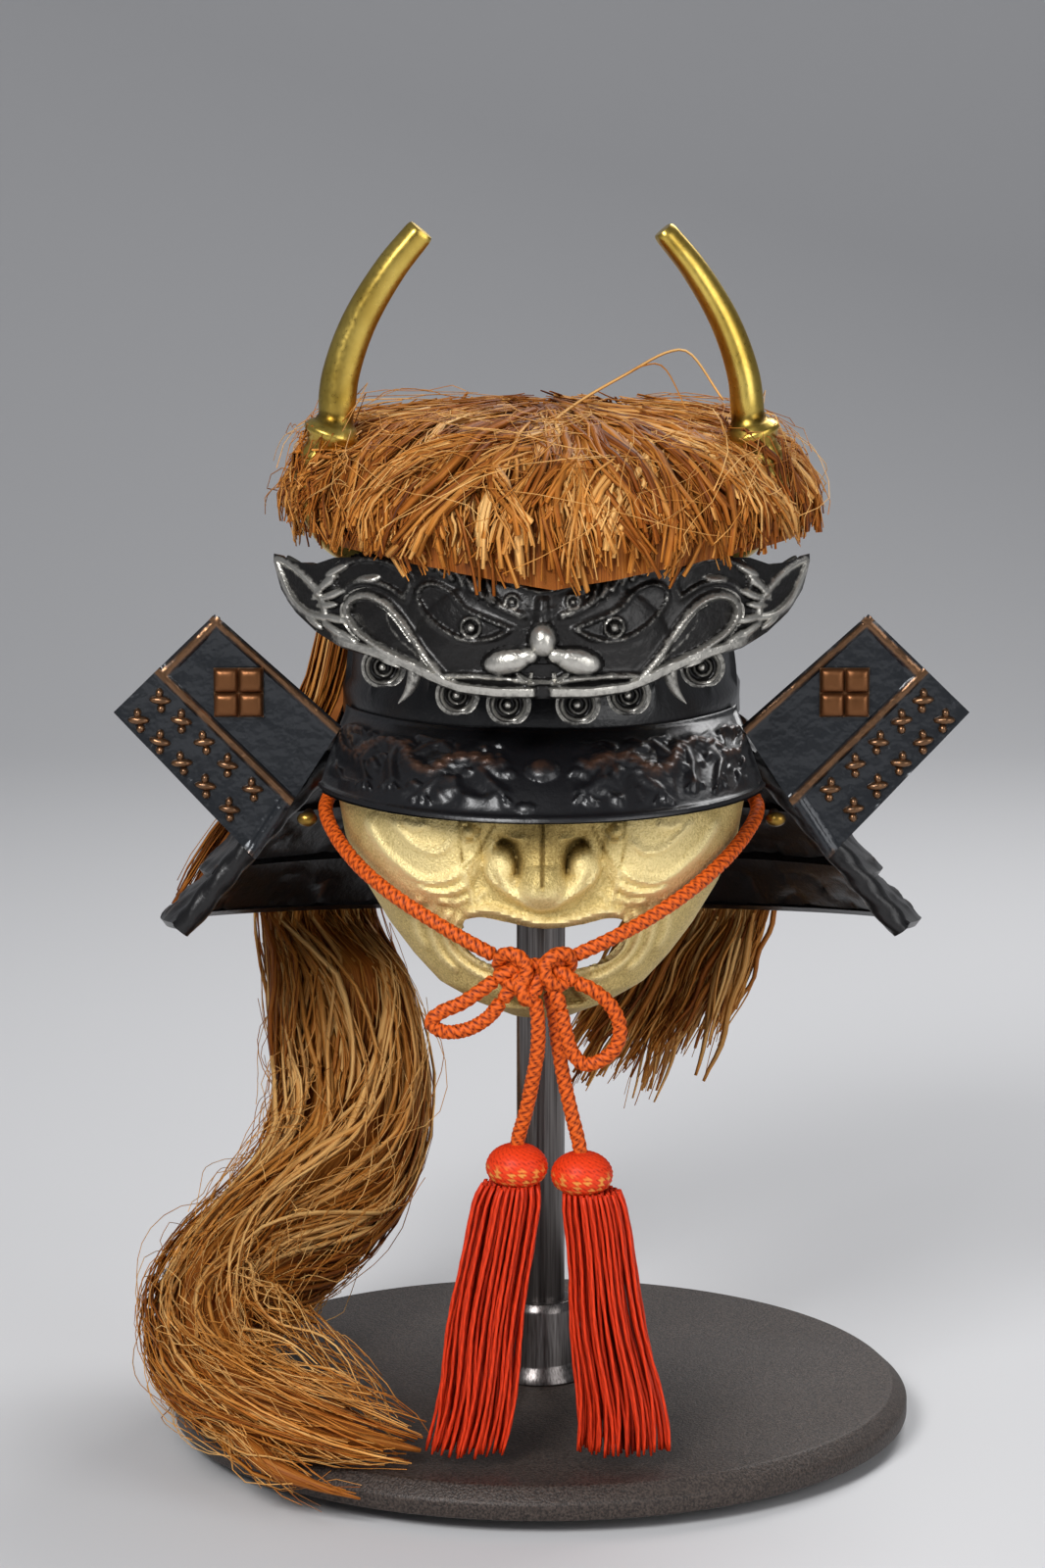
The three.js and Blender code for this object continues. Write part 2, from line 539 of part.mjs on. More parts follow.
piece('tassel_left', tassel([-6.8, -84, 96.6], { x: -8.6, halfWidth: 9.2 }, { x: -20, halfWidth: 9.6 }),
  orangeCord);
piece('tassel_right', tassel([10.8, -84, 94.4], { x: 13.4, halfWidth: 8.6 }, { x: 22.6, halfWidth: 11.4 }),
  orangeCord);

// ---- hair: a cut fringe over the crown, a mantle down the back, a long tail and a side lock ----
const fringeEdge = [
  { angle: 0, z: 254.5 }, { angle: 24, z: 259 }, { angle: 45, z: 262 }, { angle: 70, z: 263.5 },
  { angle: 110, z: 264 }, { angle: 180, z: 262.5 },
];
const capRowsOuter = [
  { grow: 0, z: null }, { grow: 2.5, z: 273 }, { grow: -4, z: 287 }, { grow: -19, z: 295.5 },
  { grow: -44, z: 299 }, { grow: -71, z: 298.5 },
];
const CAP_ROWS = capRowsOuter.length - 1;
const CAP_COLUMNS = 24;
function capRing(across, halfWidth, halfDepth, centreX, centreY, z) {
  const angle = across * 2 * Math.PI;
  return vector(centreX + halfWidth * Math.sin(angle), centreY - halfDepth * Math.cos(angle), z);
}
const edgeHeight = (across) => {
  const fromFront = Math.abs(((across * 360 + 180) % 360) - 180);
  return tableAt(fringeEdge, 'angle', fromFront, 'z');
};
function capOuter(across, up) {
  const row = capRowsOuter[Math.round(up * CAP_ROWS)];
  const lock = Math.round(across * CAP_COLUMNS) % 2 ? 1.4 : -0.4;
  const fade = 1 - up;
  const halfWidth = Math.max(0, HAIR.capHalfWidth + row.grow + lock * fade);
  const halfDepth = halfWidth * (HAIR.capHalfDepth / HAIR.capHalfWidth);
  const z = row.z ?? edgeHeight(across) + (lock > 0 ? 1.5 : 0);
  return capRing(across, halfWidth, halfDepth, HAIR.capCentreX * fade, mix(HAIR.capCentreY, 0, up), z);
}
const capRowsInner = [
  { halfWidth: 67.5, halfDepth: 76, centreY: -17, z: null },
  { halfWidth: 66.5, halfDepth: 74, centreY: -17, z: 266 },
  { halfWidth: 37, halfDepth: 42, centreY: 2, z: 269 },
  { halfWidth: 28.5, halfDepth: 33, centreY: 2, z: 275.5 },
  { halfWidth: 15, halfDepth: 17, centreY: 2, z: 282 },
  { halfWidth: 0, halfDepth: 0, centreY: 2, z: 283.5 },
];
function capInner(across, up) {
  const row = capRowsInner[Math.round(up * CAP_ROWS)];
  const centreX = HAIR.capCentreX * (row.centreY < 0 ? 1 : 0);
  const back = row.z ? 0 : Math.max(0, -Math.cos(across * 2 * Math.PI));
  const z = row.z ?? edgeHeight(across) + (Math.round(across * CAP_COLUMNS) % 2 ? 1.5 : 0) + back * 0.2;
  return capRing(across, row.halfWidth, row.halfDepth, centreX, row.centreY, z);
}
piece('hair_fringe', cut(
  wall(CAP_COLUMNS, CAP_ROWS, capOuter, capInner, true), hornClearance(-1), hornClearance(1),
), hempHair);

// The mantle lies on the bowl and on the neck guard, from one side round the back to the other.
const mantleSections = [
  { z: 261, halfWidth: 43.6, halfDepth: 50.2, thick: 9 },
  { z: 251, halfWidth: 49.6, halfDepth: 56.8, thick: 9 },
  { z: 240, halfWidth: 54, halfDepth: 62, thick: 9 },
  { z: 218, halfWidth: 58.4, halfDepth: 66.6, thick: 10 },
  { z: 206, halfWidth: 63, halfDepth: 71.5, thick: 10 },
  { z: 184, halfWidth: 83.4, halfDepth: 81.5, thick: 8 },
  { z: 160, halfWidth: 102.4, halfDepth: 90.5, thick: 6 },
  { z: 146, halfWidth: 112.3, halfDepth: 97.4, thick: 4.2 },
];
const MANTLE = { rows: mantleSections.length - 1, columns: 18, left: 97, right: 52 };
function mantlePoint(across, down, proud) {
  const section = mantleSections[Math.round(down * MANTLE.rows)];
  const angle = radians(mix(-MANTLE.left, MANTLE.right, across));
  const fade = Math.min(1, 6 * across, 6 * (1 - across));
  const lock = (Math.round(across * MANTLE.columns) % 2 ? 0.8 : -0.8) * fade;
  const lift = proud * Math.max(1.5, section.thick * fade + lock);
  return vector(
    (section.halfWidth + lift) * Math.sin(angle),
    BOWL.centreY + (section.halfDepth + lift) * Math.cos(angle),
    section.z,
  );
}
piece('hair_mantle', wall(
  MANTLE.columns, MANTLE.rows, (across, down) => mantlePoint(across, down, 1),
  (across, down) => mantlePoint(across, down, 0),
), hempHair);

// Long locks are rods with a ridged section, flattened by a height factor.
function lock(route, steps, sides) {
  const points = route.map(({ at }) => vector(...at));
  const radius = (along, angle) => {
    const place = along * (route.length - 1);
    const low = Math.min(route.length - 2, Math.floor(place));
    const plain = mix(route[low].r, route[low + 1].r, place - low);
    return plain * (1 + 0.09 * Math.cos((angle * sides) / 2));
  };
  return rod(points, steps, sides, radius);
}
const tailRoute = [
  { at: [-62, 78, 139], r: 22 }, { at: [-59, 76, 112], r: 22 }, { at: [-57, 68, 84], r: 20 },
  { at: [-66, 48, 62], r: 19 }, { at: [-82, 22, 48], r: 17.5 }, { at: [-95, -8, 38], r: 16 },
  { at: [-97, -38, 31], r: 13.5 }, { at: [-86, -68, 26], r: 11 }, { at: [-66, -86, 23], r: 8.5 },
  { at: [-46, -90, 20], r: 5.5 }, { at: [-31, -84, 17], r: 2 },
];
const droopRoute = [
  { at: [-84, -72, 23], r: 6 }, { at: [-74, -92, 14], r: 5 }, { at: [-62, -99, 10], r: 4 },
  { at: [-51, -102, 8], r: 2 },
];
piece('hair_tail', cut(fuse(lock(tailRoute, 14, 10), lock(droopRoute, 4, 6)), guardRoom), hempHair);
const sideLockRoute = [
  { at: [50, 82, 135], r: 17 }, { at: [45, 80, 122], r: 14 }, { at: [34, 79, 104], r: 10 },
  { at: [22, 79, 90], r: 6 }, { at: [12, 80, 79], r: 2 },
];
piece('hair_side_lock', cut(lock(sideLockRoute, 6, 10), guardRoom), hempHair);

export default helmet;
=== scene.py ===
import math

import bpy
import numpy as np
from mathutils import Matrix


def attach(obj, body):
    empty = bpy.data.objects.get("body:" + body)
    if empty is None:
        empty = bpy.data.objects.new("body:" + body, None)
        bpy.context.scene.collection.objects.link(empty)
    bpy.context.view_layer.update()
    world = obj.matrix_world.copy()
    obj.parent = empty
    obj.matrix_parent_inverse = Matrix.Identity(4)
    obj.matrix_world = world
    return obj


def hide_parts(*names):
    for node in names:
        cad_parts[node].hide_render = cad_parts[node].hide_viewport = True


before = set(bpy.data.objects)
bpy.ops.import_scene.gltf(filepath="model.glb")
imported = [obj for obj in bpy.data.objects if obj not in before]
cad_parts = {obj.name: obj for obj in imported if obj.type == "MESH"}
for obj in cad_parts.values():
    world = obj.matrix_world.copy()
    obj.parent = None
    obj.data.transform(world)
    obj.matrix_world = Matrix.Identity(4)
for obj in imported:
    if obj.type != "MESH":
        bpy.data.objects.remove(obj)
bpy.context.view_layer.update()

bpy.ops.object.select_all(action="DESELECT")

# ---------------------------------------------------------------- studio
# A pale floor that curves up into a backdrop, three soft lights and a camera in front, a little above.
mm = 0.001


def metres(point):
    return tuple(value * mm for value in point)


camera_data = bpy.data.cameras.new("camera")
camera_data.lens = 97.24
camera_data.sensor_width = 36.0
camera_data.clip_start = 0.01
camera_data.clip_end = 30.0
camera = bpy.data.objects.new("camera", camera_data)
camera.location = metres((-5.28, -1200, 377.68))
camera.rotation_euler = (math.radians(90 - 8.98), 0, 0)
bpy.context.scene.collection.objects.link(camera)
bpy.context.scene.camera = camera


def read_points(piece):
    points = np.empty(len(piece.data.vertices) * 3)
    piece.data.vertices.foreach_get("co", points)
    return points.reshape(-1, 3)


def write_points(piece, points):
    piece.data.vertices.foreach_set("co", np.ascontiguousarray(points, dtype=float).ravel())
    piece.data.update()


bpy.ops.mesh.primitive_grid_add(x_subdivisions=8, y_subdivisions=120, size=2)
backdrop = bpy.context.object
backdrop.name = "studio_floor"
grid = read_points(backdrop)
run = (grid[:, 1] + 1) * 3.0 - 2.6
turn_start, turn_radius = 1.3, 1.0
turn = np.clip((run - turn_start) / turn_radius, 0, math.pi / 2)
rise = np.maximum(0, run - turn_start - turn_radius * math.pi / 2)
grid[:, 0] *= 4.0
grid[:, 1] = np.minimum(run, turn_start) + turn_radius * np.sin(turn)
grid[:, 2] = turn_radius * (1 - np.cos(turn)) + rise
write_points(backdrop, grid)
bpy.ops.object.shade_smooth()


def new_finish(name):
    material = bpy.data.materials.new(name)
    material.use_nodes = True
    return material, material.node_tree, material.node_tree.nodes["Principled BSDF"]


def add(tree, kind, values=None, **settings):
    node = tree.nodes.new(kind)
    for key, value in settings.items():
        setattr(node, key, value)
    for key, value in (values or {}).items():
        node.inputs[key].default_value = value
    return node


def wire(tree, start, socket, end, into):
    tree.links.new(start.outputs[socket], end.inputs[into])


paper, tree, shader = new_finish("studio_paper")
shader.inputs["Base Color"].default_value = (0.62, 0.62, 0.63, 1)
shader.inputs["Roughness"].default_value = 0.9
backdrop.data.materials.append(paper)


def soft_light(name, place, energy, size, aim=(0, 0, 190)):
    data = bpy.data.lights.new(name, "AREA")
    data.energy = energy
    data.size = size
    lamp = bpy.data.objects.new(name, data)
    lamp.location = metres(place)
    offset = np.array(aim) - np.array(place)
    flat = math.hypot(offset[0], offset[1])
    lamp.rotation_euler = (math.atan2(flat, -offset[2]), 0, math.atan2(-offset[0], offset[1]))
    bpy.context.scene.collection.objects.link(lamp)


soft_light("key_light", (-520, -1150, 980), 19, 0.5)
soft_light("fill_light", (950, -900, 520), 6, 0.8)
soft_light("back_light", (500, 800, 1150), 12, 0.7)
world = bpy.data.worlds.new("studio_air")
world.use_nodes = True
world.node_tree.nodes["Background"].inputs["Color"].default_value = (0.9, 0.93, 1.0, 1)
world.node_tree.nodes["Background"].inputs["Strength"].default_value = 0.2
bpy.context.scene.world = world
bpy.context.scene.view_settings.view_transform = "Standard"

# ---------------------------------------------------------------- chin cord
# One round braid of orange silk, 4 mm thick, that runs from the knot up both cheeks, under the visor and
# round inside the rim. Two bows and two ends leave the knot, and each end carries a tassel.
CORD_RADIUS = 2.0
CHIN_ROUTE = [
    (-12.6, -83.6, 154.5), (-21, -81.2, 158.6), (-31, -77, 163.8), (-41, -71.2, 169.4),
    (-49.5, -62.6, 175), (-56.6, -50, 181.4), (-60, -38, 186.6), (-59.2, -26, 189.8),
    (-57.6, -9, 195), (-56.6, 12.9, 198), (-49.8, 33.5, 198), (-37, 50.3, 198),
    (-19.7, 61.2, 198), (0, 65, 198), (19.7, 61.2, 198), (37, 50.3, 198),
    (49.8, 33.5, 198), (56.6, 12.9, 198), (57.6, -9, 195), (59.2, -26, 189.8),
    (60, -38, 186.6), (55.4, -52.2, 181.4), (48, -64.6, 175.6), (39, -73, 169.6),
    (29, -78, 163.8), (18, -82, 158.6), (8.6, -83.6, 154.5),
]
LEFT_BOW_ROUTE = [
    (-12.4, -88, 149), (-16.5, -88.4, 146), (-21.9, -88.4, 142.4), (-27, -88.2, 140.1),
    (-29.8, -88, 137.4), (-27, -87.8, 134.8), (-20.5, -88, 135.2), (-14.5, -88, 138.6),
    (-10.8, -88, 143.2),
]
RIGHT_BOW_ROUTE = [
    (8.8, -88, 148.2), (13, -88.6, 146.6), (18.2, -89, 142.2), (20.8, -89, 136.2),
    (19.8, -89, 130.9), (15.7, -89, 127), (11.3, -89, 126), (8.2, -89, 129),
    (6.3, -88.8, 134.8), (5, -88.4, 141),
]
LEFT_END_ROUTE = [
    (-2, -88.6, 144), (-1.2, -88.4, 138), (-1.2, -87.8, 130), (-2.6, -86.6, 121),
    (-4.4, -85.2, 112), (-6.4, -84.2, 104.6), (-7.2, -84, 98), (-8.6, -84, 90.5),
]
RIGHT_END_ROUTE = [
    (2, -82.4, 144.6), (3.2, -82.4, 138), (4.4, -82.6, 129), (6, -83, 120), (8, -83.6, 111),
    (10, -84, 102.8), (11, -84, 96), (12.8, -84, 88.5),
]


def smooth_route(route, spacing):
    """Points at even spacing along a smooth curve through the route's points."""
    knots = np.array(route, dtype=float)
    ends = np.vstack([2 * knots[0] - knots[1], knots, 2 * knots[-1] - knots[-2]])
    fine = []
    for a, b, c, d in zip(ends[:-3], ends[1:-2], ends[2:-1], ends[3:]):
        ta = 0.0
        tb = ta + np.linalg.norm(b - a) ** 0.5
        tc = tb + np.linalg.norm(c - b) ** 0.5
        td = tc + np.linalg.norm(d - c) ** 0.5
        t = np.linspace(tb, tc, 24, endpoint=False)[:, None]
        ab = (tb - t) / (tb - ta) * a + (t - ta) / (tb - ta) * b
        bc = (tc - t) / (tc - tb) * b + (t - tb) / (tc - tb) * c
        cd = (td - t) / (td - tc) * c + (t - tc) / (td - tc) * d
        abc = (tc - t) / (tc - ta) * ab + (t - ta) / (tc - ta) * bc
        bcd = (td - t) / (td - tb) * bc + (t - tb) / (td - tb) * cd
        fine.append((tc - t) / (tc - tb) * abc + (t - tb) / (tc - tb) * bcd)
    fine = np.vstack(fine + [knots[-1:]])
    length = np.concatenate([[0], np.cumsum(np.linalg.norm(np.diff(fine, axis=0), axis=1))])
    count = max(3, int(round(length[-1] / spacing)) + 1)
    even = np.linspace(0, length[-1], count)
    return np.column_stack([np.interp(even, length, fine[:, axis]) for axis in range(3)])


def unit(vectors):
    return vectors / np.maximum(np.linalg.norm(vectors, axis=-1, keepdims=True), 1e-9)


def carried_frames(line):
    """A side and an up vector at each point, carried along the line without twist."""
    tangents = unit(np.gradient(line, axis=0))
    side = unit(np.cross(tangents[0], (0.3, 0.1, 1.0)))
    sides = []
    for tangent in tangents:
        side = unit(side - tangent * np.dot(side, tangent))
        sides.append(side)
    sides = np.array(sides)
    return sides, np.cross(tangents, sides)


def arms_round(angles, sides, ups):
    """Unit vectors that stand off a line at each of its points, one for each angle."""
    return np.cos(angles)[None, :, None] * sides[:, None] + np.sin(angles)[None, :, None] * ups[:, None]


def joined_tubes(rings):
    """Vertices and faces of closed tubes; rings has the shape tubes, steps, sides, 3."""
    tubes, steps, sides, _ = rings.shape
    corner = np.arange(steps * sides).reshape(steps, sides)
    nearer, further = corner[:-1], corner[1:]
    quads = np.stack(
        [nearer, np.roll(nearer, -1, 1), np.roll(further, -1, 1), further], axis=-1
    ).reshape(-1, 4)
    shift = (np.arange(tubes) * steps * sides)[:, None, None]
    quads = (quads[None] + shift).reshape(-1, 4)
    start = (corner[0][::-1][None] + shift[:, 0]).reshape(tubes, sides)
    end = (corner[-1][None] + shift[:, 0]).reshape(tubes, sides)
    return rings.reshape(-1, 3), [quads, start, end]


def set_values(piece, **attributes):
    for key, values in attributes.items():
        layer = piece.data.attributes.new(key, "FLOAT", "POINT")
        layer.data.foreach_set("value", np.asarray(values, dtype=np.float32).ravel())


def mesh_from_arrays(name, points, face_sets, **attributes):
    """One object from arrays of points in millimetres and of faces, with values kept at its points."""
    mesh = bpy.data.meshes.new(name)
    mesh.vertices.add(len(points))
    mesh.vertices.foreach_set("co", (points * mm).astype(float).ravel())
    corners = np.concatenate([faces.ravel() for faces in face_sets])
    sizes = np.concatenate([np.full(len(faces), faces.shape[1]) for faces in face_sets])
    mesh.loops.add(len(corners))
    mesh.loops.foreach_set("vertex_index", corners.astype(np.int32))
    mesh.polygons.add(len(sizes))
    starts = np.concatenate([[0], np.cumsum(sizes)[:-1]])
    mesh.polygons.foreach_set("loop_start", starts.astype(np.int32))
    mesh.update(calc_edges=True)
    mesh.polygons.foreach_set("use_smooth", np.ones(len(sizes), dtype=bool))
    piece = bpy.data.objects.new(name, mesh)
    bpy.context.scene.collection.objects.link(piece)
    set_values(piece, **attributes)
    return piece


BRAID_SIDES, BRAID_STEP, BRAID_PITCH = 16, 0.45, 2.6


def braid_relief(angles, lengths):
    """How far each point of an eight-strand round braid stands out, from 0 to 1."""
    across = 4 * angles / (2 * math.pi)
    right = lengths / BRAID_PITCH + across
    left = lengths / BRAID_PITCH - across
    over = (np.floor(right) + np.floor(left)) % 2 == 0
    bulge_right = np.sin(math.pi * (left % 1)) ** 0.8
    bulge_left = np.sin(math.pi * (right % 1)) ** 0.8
    return np.where(over, bulge_right, bulge_left)


def braided_rings(route, radius=CORD_RADIUS):
    line = smooth_route(route, BRAID_STEP)
    sides, ups = carried_frames(line)
    angles = np.arange(BRAID_SIDES) * 2 * math.pi / BRAID_SIDES
    lengths = np.arange(len(line))[:, None] * BRAID_STEP
    relief = braid_relief(angles[None, :], lengths)
    reach = radius * (0.78 + 0.25 * relief)
    ends = np.minimum(1, 0.45 + 0.4 * np.minimum(np.arange(len(line)), np.arange(len(line))[::-1]))
    reach = (reach * ends[:, None])[..., None]
    arms = arms_round(angles, sides, ups)
    return line[:, None] + arms * reach, relief


orange_silk, tree, shader = new_finish("orange_silk")
relief = add(tree, "ShaderNodeAttribute", attribute_name="relief")
# Painted shade: the ramp makes the silk darker where the braid's relief is low, in the gaps between its strands, and
# brighter on the strands.
shade = add(tree, "ShaderNodeValToRGB")
shade.color_ramp.elements[0].color = (0.10, 0.006, 0.001, 1)
shade.color_ramp.elements[0].position = 0.2
shade.color_ramp.elements[1].color = (0.76, 0.122, 0.011, 1)
shade.color_ramp.elements[1].position = 0.95
threads = add(tree, "ShaderNodeTexNoise", {"Scale": 3200.0, "Detail": 3.0})
place = add(tree, "ShaderNodeTexCoord")
wire(tree, place, "Object", threads, "Vector")
wire(tree, relief, "Fac", shade, "Fac")
wire(tree, shade, "Color", shader, "Base Color")
nap = add(tree, "ShaderNodeBump", {"Strength": 0.35, "Distance": 0.0002})
wire(tree, threads, "Fac", nap, "Height")
wire(tree, nap, "Normal", shader, "Normal")
shader.inputs["Roughness"].default_value = 0.55
shader.inputs["Specular IOR Level"].default_value = 0.2


def braided_piece(name, routes):
    points, faces, reliefs, count = [], [], [], 0
    for route in routes:
        rings, relief_here = braided_rings(route)
        ring_points, ring_faces = joined_tubes(rings[None])
        points.append(ring_points)
        faces += [face_set + count for face_set in ring_faces]
        reliefs.append(relief_here.ravel())
        count += len(ring_points)
    piece = mesh_from_arrays(name, np.vstack(points), faces, relief=np.concatenate(reliefs))
    piece.data.materials.append(orange_silk)
    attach(piece, "root")
    return piece


KNOT_ROUTES = [
    [(-8.5, -82.5, 149), (-11.4, -84, 151.5), (-10.6, -87, 155.4), (-6.8, -88.6, 155.6), (-4.2, -89.4, 152.4),
     (-5.4, -89.6, 148.6), (-8.6, -88.4, 147.6), (-10.6, -86, 149.6)],
    [(4.6, -82.6, 149), (7.4, -84, 151.8), (6.6, -87, 155.6), (2.8, -88.8, 155.4), (0.6, -89.6, 152.2),
     (2.2, -89.8, 148.6), (5.4, -88.2, 147.8), (7.2, -86, 150)],
    [(-10.4, -84, 153.8), (-6.4, -86.2, 153), (-2, -86.8, 152.6), (2.6, -86.2, 153), (6.8, -84, 153.8)],
    [(-6.6, -87.6, 150.4), (-5.8, -89.8, 147.4), (-4.8, -90.2, 144.4), (-3.4, -89.4, 143.6),
     (-2.6, -88.2, 146.4), (-2.4, -86.8, 150)],
    [(0.4, -86.4, 150.6), (-1.2, -88.2, 149), (-1.8, -88.6, 146.6), (-2, -88.6, 144.6)],
    [(0.4, -84.4, 150.6), (1.2, -83.2, 148), (1.8, -82.6, 145)],
    [(-6, -86.5, 151.6), (-9.5, -87.6, 150.8), (-12.8, -88, 148.8)],
    [(-5, -87, 149.5), (-8, -87.8, 146.8), (-10.9, -88, 142.9)],
    [(2.6, -86.4, 151.6), (6, -87.4, 150.2), (9.2, -88, 148)],
    [(1.5, -87, 149), (3.6, -88, 145), (5.05, -88.4, 140.6)],
]
knot = braided_piece("silk_knot", KNOT_ROUTES)
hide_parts("cord_knot")

cord_facts = [
    ("silk_chin_loop", CHIN_ROUTE, "chin_cord", "knot", "taut"),
    ("silk_bow_left", LEFT_BOW_ROUTE, "bow_left", "knot", "hanging"),
    ("silk_bow_right", RIGHT_BOW_ROUTE, "bow_right", "knot", "hanging"),
]
for name, route, node, far_end, lay in cord_facts:
    piece = braided_piece(name, [route])
    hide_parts(node)
    line = smooth_route(route, 1.0)

# ---------------------------------------------------------------- tassels
# Each cord end goes into a knitted silk head with gold thread, and about eighty twisted two-ply threads
# hang from it as a skirt.
TASSEL_HEAD = (8.4, 6.3)
SKIRT_THREADS = 84
tassel_facts = [
    {"side": "left", "head": (-6.8, -84, 96.6), "top": (-8.6, 9.6), "end": (-20.4, 11.2), "route": LEFT_END_ROUTE},
    {"side": "right", "head": (10.8, -84, 94.4), "top": (13.4, 9.0), "end": (22.4, 13.0), "route": RIGHT_END_ROUTE},
]

silk_head, tree, shader = new_finish("knitted_silk_and_gold")
relief = add(tree, "ShaderNodeAttribute", attribute_name="relief")
gold = add(tree, "ShaderNodeAttribute", attribute_name="gold")
# Painted shade: the ramp darkens the silk where its relief is low: in the knit's hollows, at the head's top and
# bottom, and in the skirt's ply grooves and inner threads.
shade = add(tree, "ShaderNodeValToRGB")
shade.color_ramp.elements[0].color = (0.15, 0.003, 0.001, 1)
shade.color_ramp.elements[1].color = (0.78, 0.046, 0.008, 1)
shade.color_ramp.elements[1].position = 0.75
blend = add(tree, "ShaderNodeMix", data_type="RGBA")
blend.inputs["B"].default_value = (0.95, 0.42, 0.09, 1)
wire(tree, relief, "Fac", shade, "Fac")
wire(tree, shade, "Color", blend, "A")
wire(tree, gold, "Fac", blend, "Factor")
wire(tree, blend, "Result", shader, "Base Color")
half = add(tree, "ShaderNodeMath", operation="MULTIPLY")
half.inputs[1].default_value = 0.7
wire(tree, gold, "Fac", half, 0)
wire(tree, half, "Value", shader, "Metallic")
shader.inputs["Roughness"].default_value = 0.5
shader.inputs["Specular IOR Level"].default_value = 0.22


def select_only(piece):
    bpy.ops.object.select_all(action="DESELECT")
    piece.select_set(True)
    bpy.context.view_layer.objects.active = piece


def join(main, others):
    select_only(main)
    for other in others:
        other.select_set(True)
    bpy.ops.object.join()


def tassel_head(facts):
    bpy.ops.mesh.primitive_uv_sphere_add(segments=72, ring_count=40, radius=1)
    head = bpy.context.object
    ball = read_points(head)
    turn = np.arctan2(ball[:, 1], ball[:, 0])
    height = np.arcsin(np.clip(ball[:, 2], -1, 1)) / (math.pi / 2)
    right, left = 7 * height + 9 * turn / math.pi, 7 * height - 9 * turn / math.pi
    relief_here = (np.abs(np.sin(math.pi * right)) * np.abs(np.sin(math.pi * left))) ** 0.5
    fade = 1 - np.abs(height) ** 6
    speck = ((5 * np.floor(right) + 3 * np.floor(left)) % 9 < 3) * (relief_here > 0.4)
    gold_here = speck * np.clip((0.4 - np.abs(height + 0.22)) * 5, 0, 1)
    width, tall = TASSEL_HEAD
    neck = 1 - 0.12 * np.exp(-(((height + 0.55) / 0.12) ** 2))
    swell = (1 + 0.07 * relief_here * fade) * neck
    ball[:, 0:2] *= (width - 0.4) * swell[:, None]
    ball[:, 2] *= tall * (1 + 0.03 * relief_here)
    write_points(head, (ball + np.array(facts["head"])) * mm)
    # Painted shade: the knit's hollows and the head's top and bottom get a lower relief, so they come out darker.
    set_values(head, relief=0.25 + 0.75 * relief_here * fade, gold=gold_here)
    bpy.ops.object.shade_smooth()
    return head


def tassel_skirt(facts, random):
    _, y, z = facts["head"]
    steps, sides = 28, 6
    down = np.linspace(0, 1, steps)
    rank = np.arange(SKIRT_THREADS)
    turn = rank * 2.39996
    spread = np.sqrt((rank + 0.5) / SKIRT_THREADS)
    jitter = random.normal(0, 1, (SKIRT_THREADS, 4))
    start_z = z - 3.4 - 1.2 * spread
    end_z = 16.4 + np.abs(jitter[:, 0]) * 1.1
    centre = facts["top"][0] + (facts["end"][0] - facts["top"][0]) * down ** 0.9
    width = np.interp(down, [0, 0.06, 0.3, 1], [8.0, facts["top"][1], facts["top"][1] + 0.5, facts["end"][1]])
    depth = np.interp(down, [0, 0.06, 0.3, 1], [7.8, 8.4, 8.0, 7.2])
    sway = (0.8 * np.sin(down[None] * 6 + jitter[:, 1:2] * 3) + 0.9 * np.sin(down[None] * 8.5 + 1)) * down[None]
    lift = 0.7 * np.sin(down[None] * 7 + jitter[:, 2:3] * 3) * down[None]
    paths = np.empty((SKIRT_THREADS, steps, 3))
    paths[..., 0] = centre + (spread * np.cos(turn))[:, None] * width + sway
    paths[..., 1] = y + (spread * np.sin(turn))[:, None] * depth + lift
    paths[..., 2] = start_z[:, None] + (end_z - start_z)[:, None] * down[None]
    angles = np.arange(sides) * 2 * math.pi / sides
    ply = (paths[..., 2] * 1.45 + jitter[:, 3:4] * 4)[..., None]
    oval = np.where(np.cos(2 * (angles[None, None] - ply)) > 0, 1.0, 0.8)
    reach = 0.56 * oval * np.interp(down, [0, 0.97, 1], [1, 1, 0.7])[None, :, None]
    arms = np.stack([np.cos(angles), np.sin(angles), np.zeros(sides)], axis=-1)
    rings = paths[:, :, None] + arms[None, None] * reach[..., None]
    points, faces = joined_tubes(rings)
    # Painted shade: the grooves between the two plies and the threads deep inside the skirt get a lower relief, so
    # they come out darker.
    crevice = 0.5 + 0.5 * np.cos(2 * (angles[None, None] - ply)) * np.ones((SKIRT_THREADS, steps, sides))
    deep = np.clip(spread, 0.3, 1)[:, None, None]
    return mesh_from_arrays("skirt", points, faces, relief=(0.25 + 0.75 * crevice) * deep, gold=crevice * 0)


for seed, facts in enumerate(tassel_facts):
    head = tassel_head(facts)
    skirt = tassel_skirt(facts, np.random.default_rng(20 + seed))
    join(head, [skirt])
    head.name = "silk_tassel_" + facts["side"]
    head.data.materials.append(silk_head)
    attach(head, "root")
    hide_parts("tassel_" + facts["side"])
    end = braided_piece("silk_end_" + facts["side"], [facts["route"]])
    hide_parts("cord_end_" + facts["side"])
    line = smooth_route(facts["route"], 1.0)

# ---------------------------------------------------------------- base
# A round foot plate, cast and finished in grainy dark brown paint. Its rim slopes outwards, and it stands
# on three curved feet that are cast with it.
BASE_RADIUS, BASE_TOP_RADIUS = 107.0, 102.7
BASE_TOP, BASE_EDGE, BASE_UNDER = 13.0, 9.0, 4.2
FOOT_RADII, FOOT_HALF_ANGLE, FOOT_AZIMUTHS = (86.0, 105.5), 17.0, (42, 162, 282)
SMOOTH_ANGLE = math.radians(38)


def apply_modifier(piece, kind, **settings):
    select_only(piece)
    modifier = piece.modifiers.new(kind.lower(), kind)
    for key, value in settings.items():
        setattr(modifier, key, value)
    bpy.ops.object.modifier_apply(modifier=modifier.name)


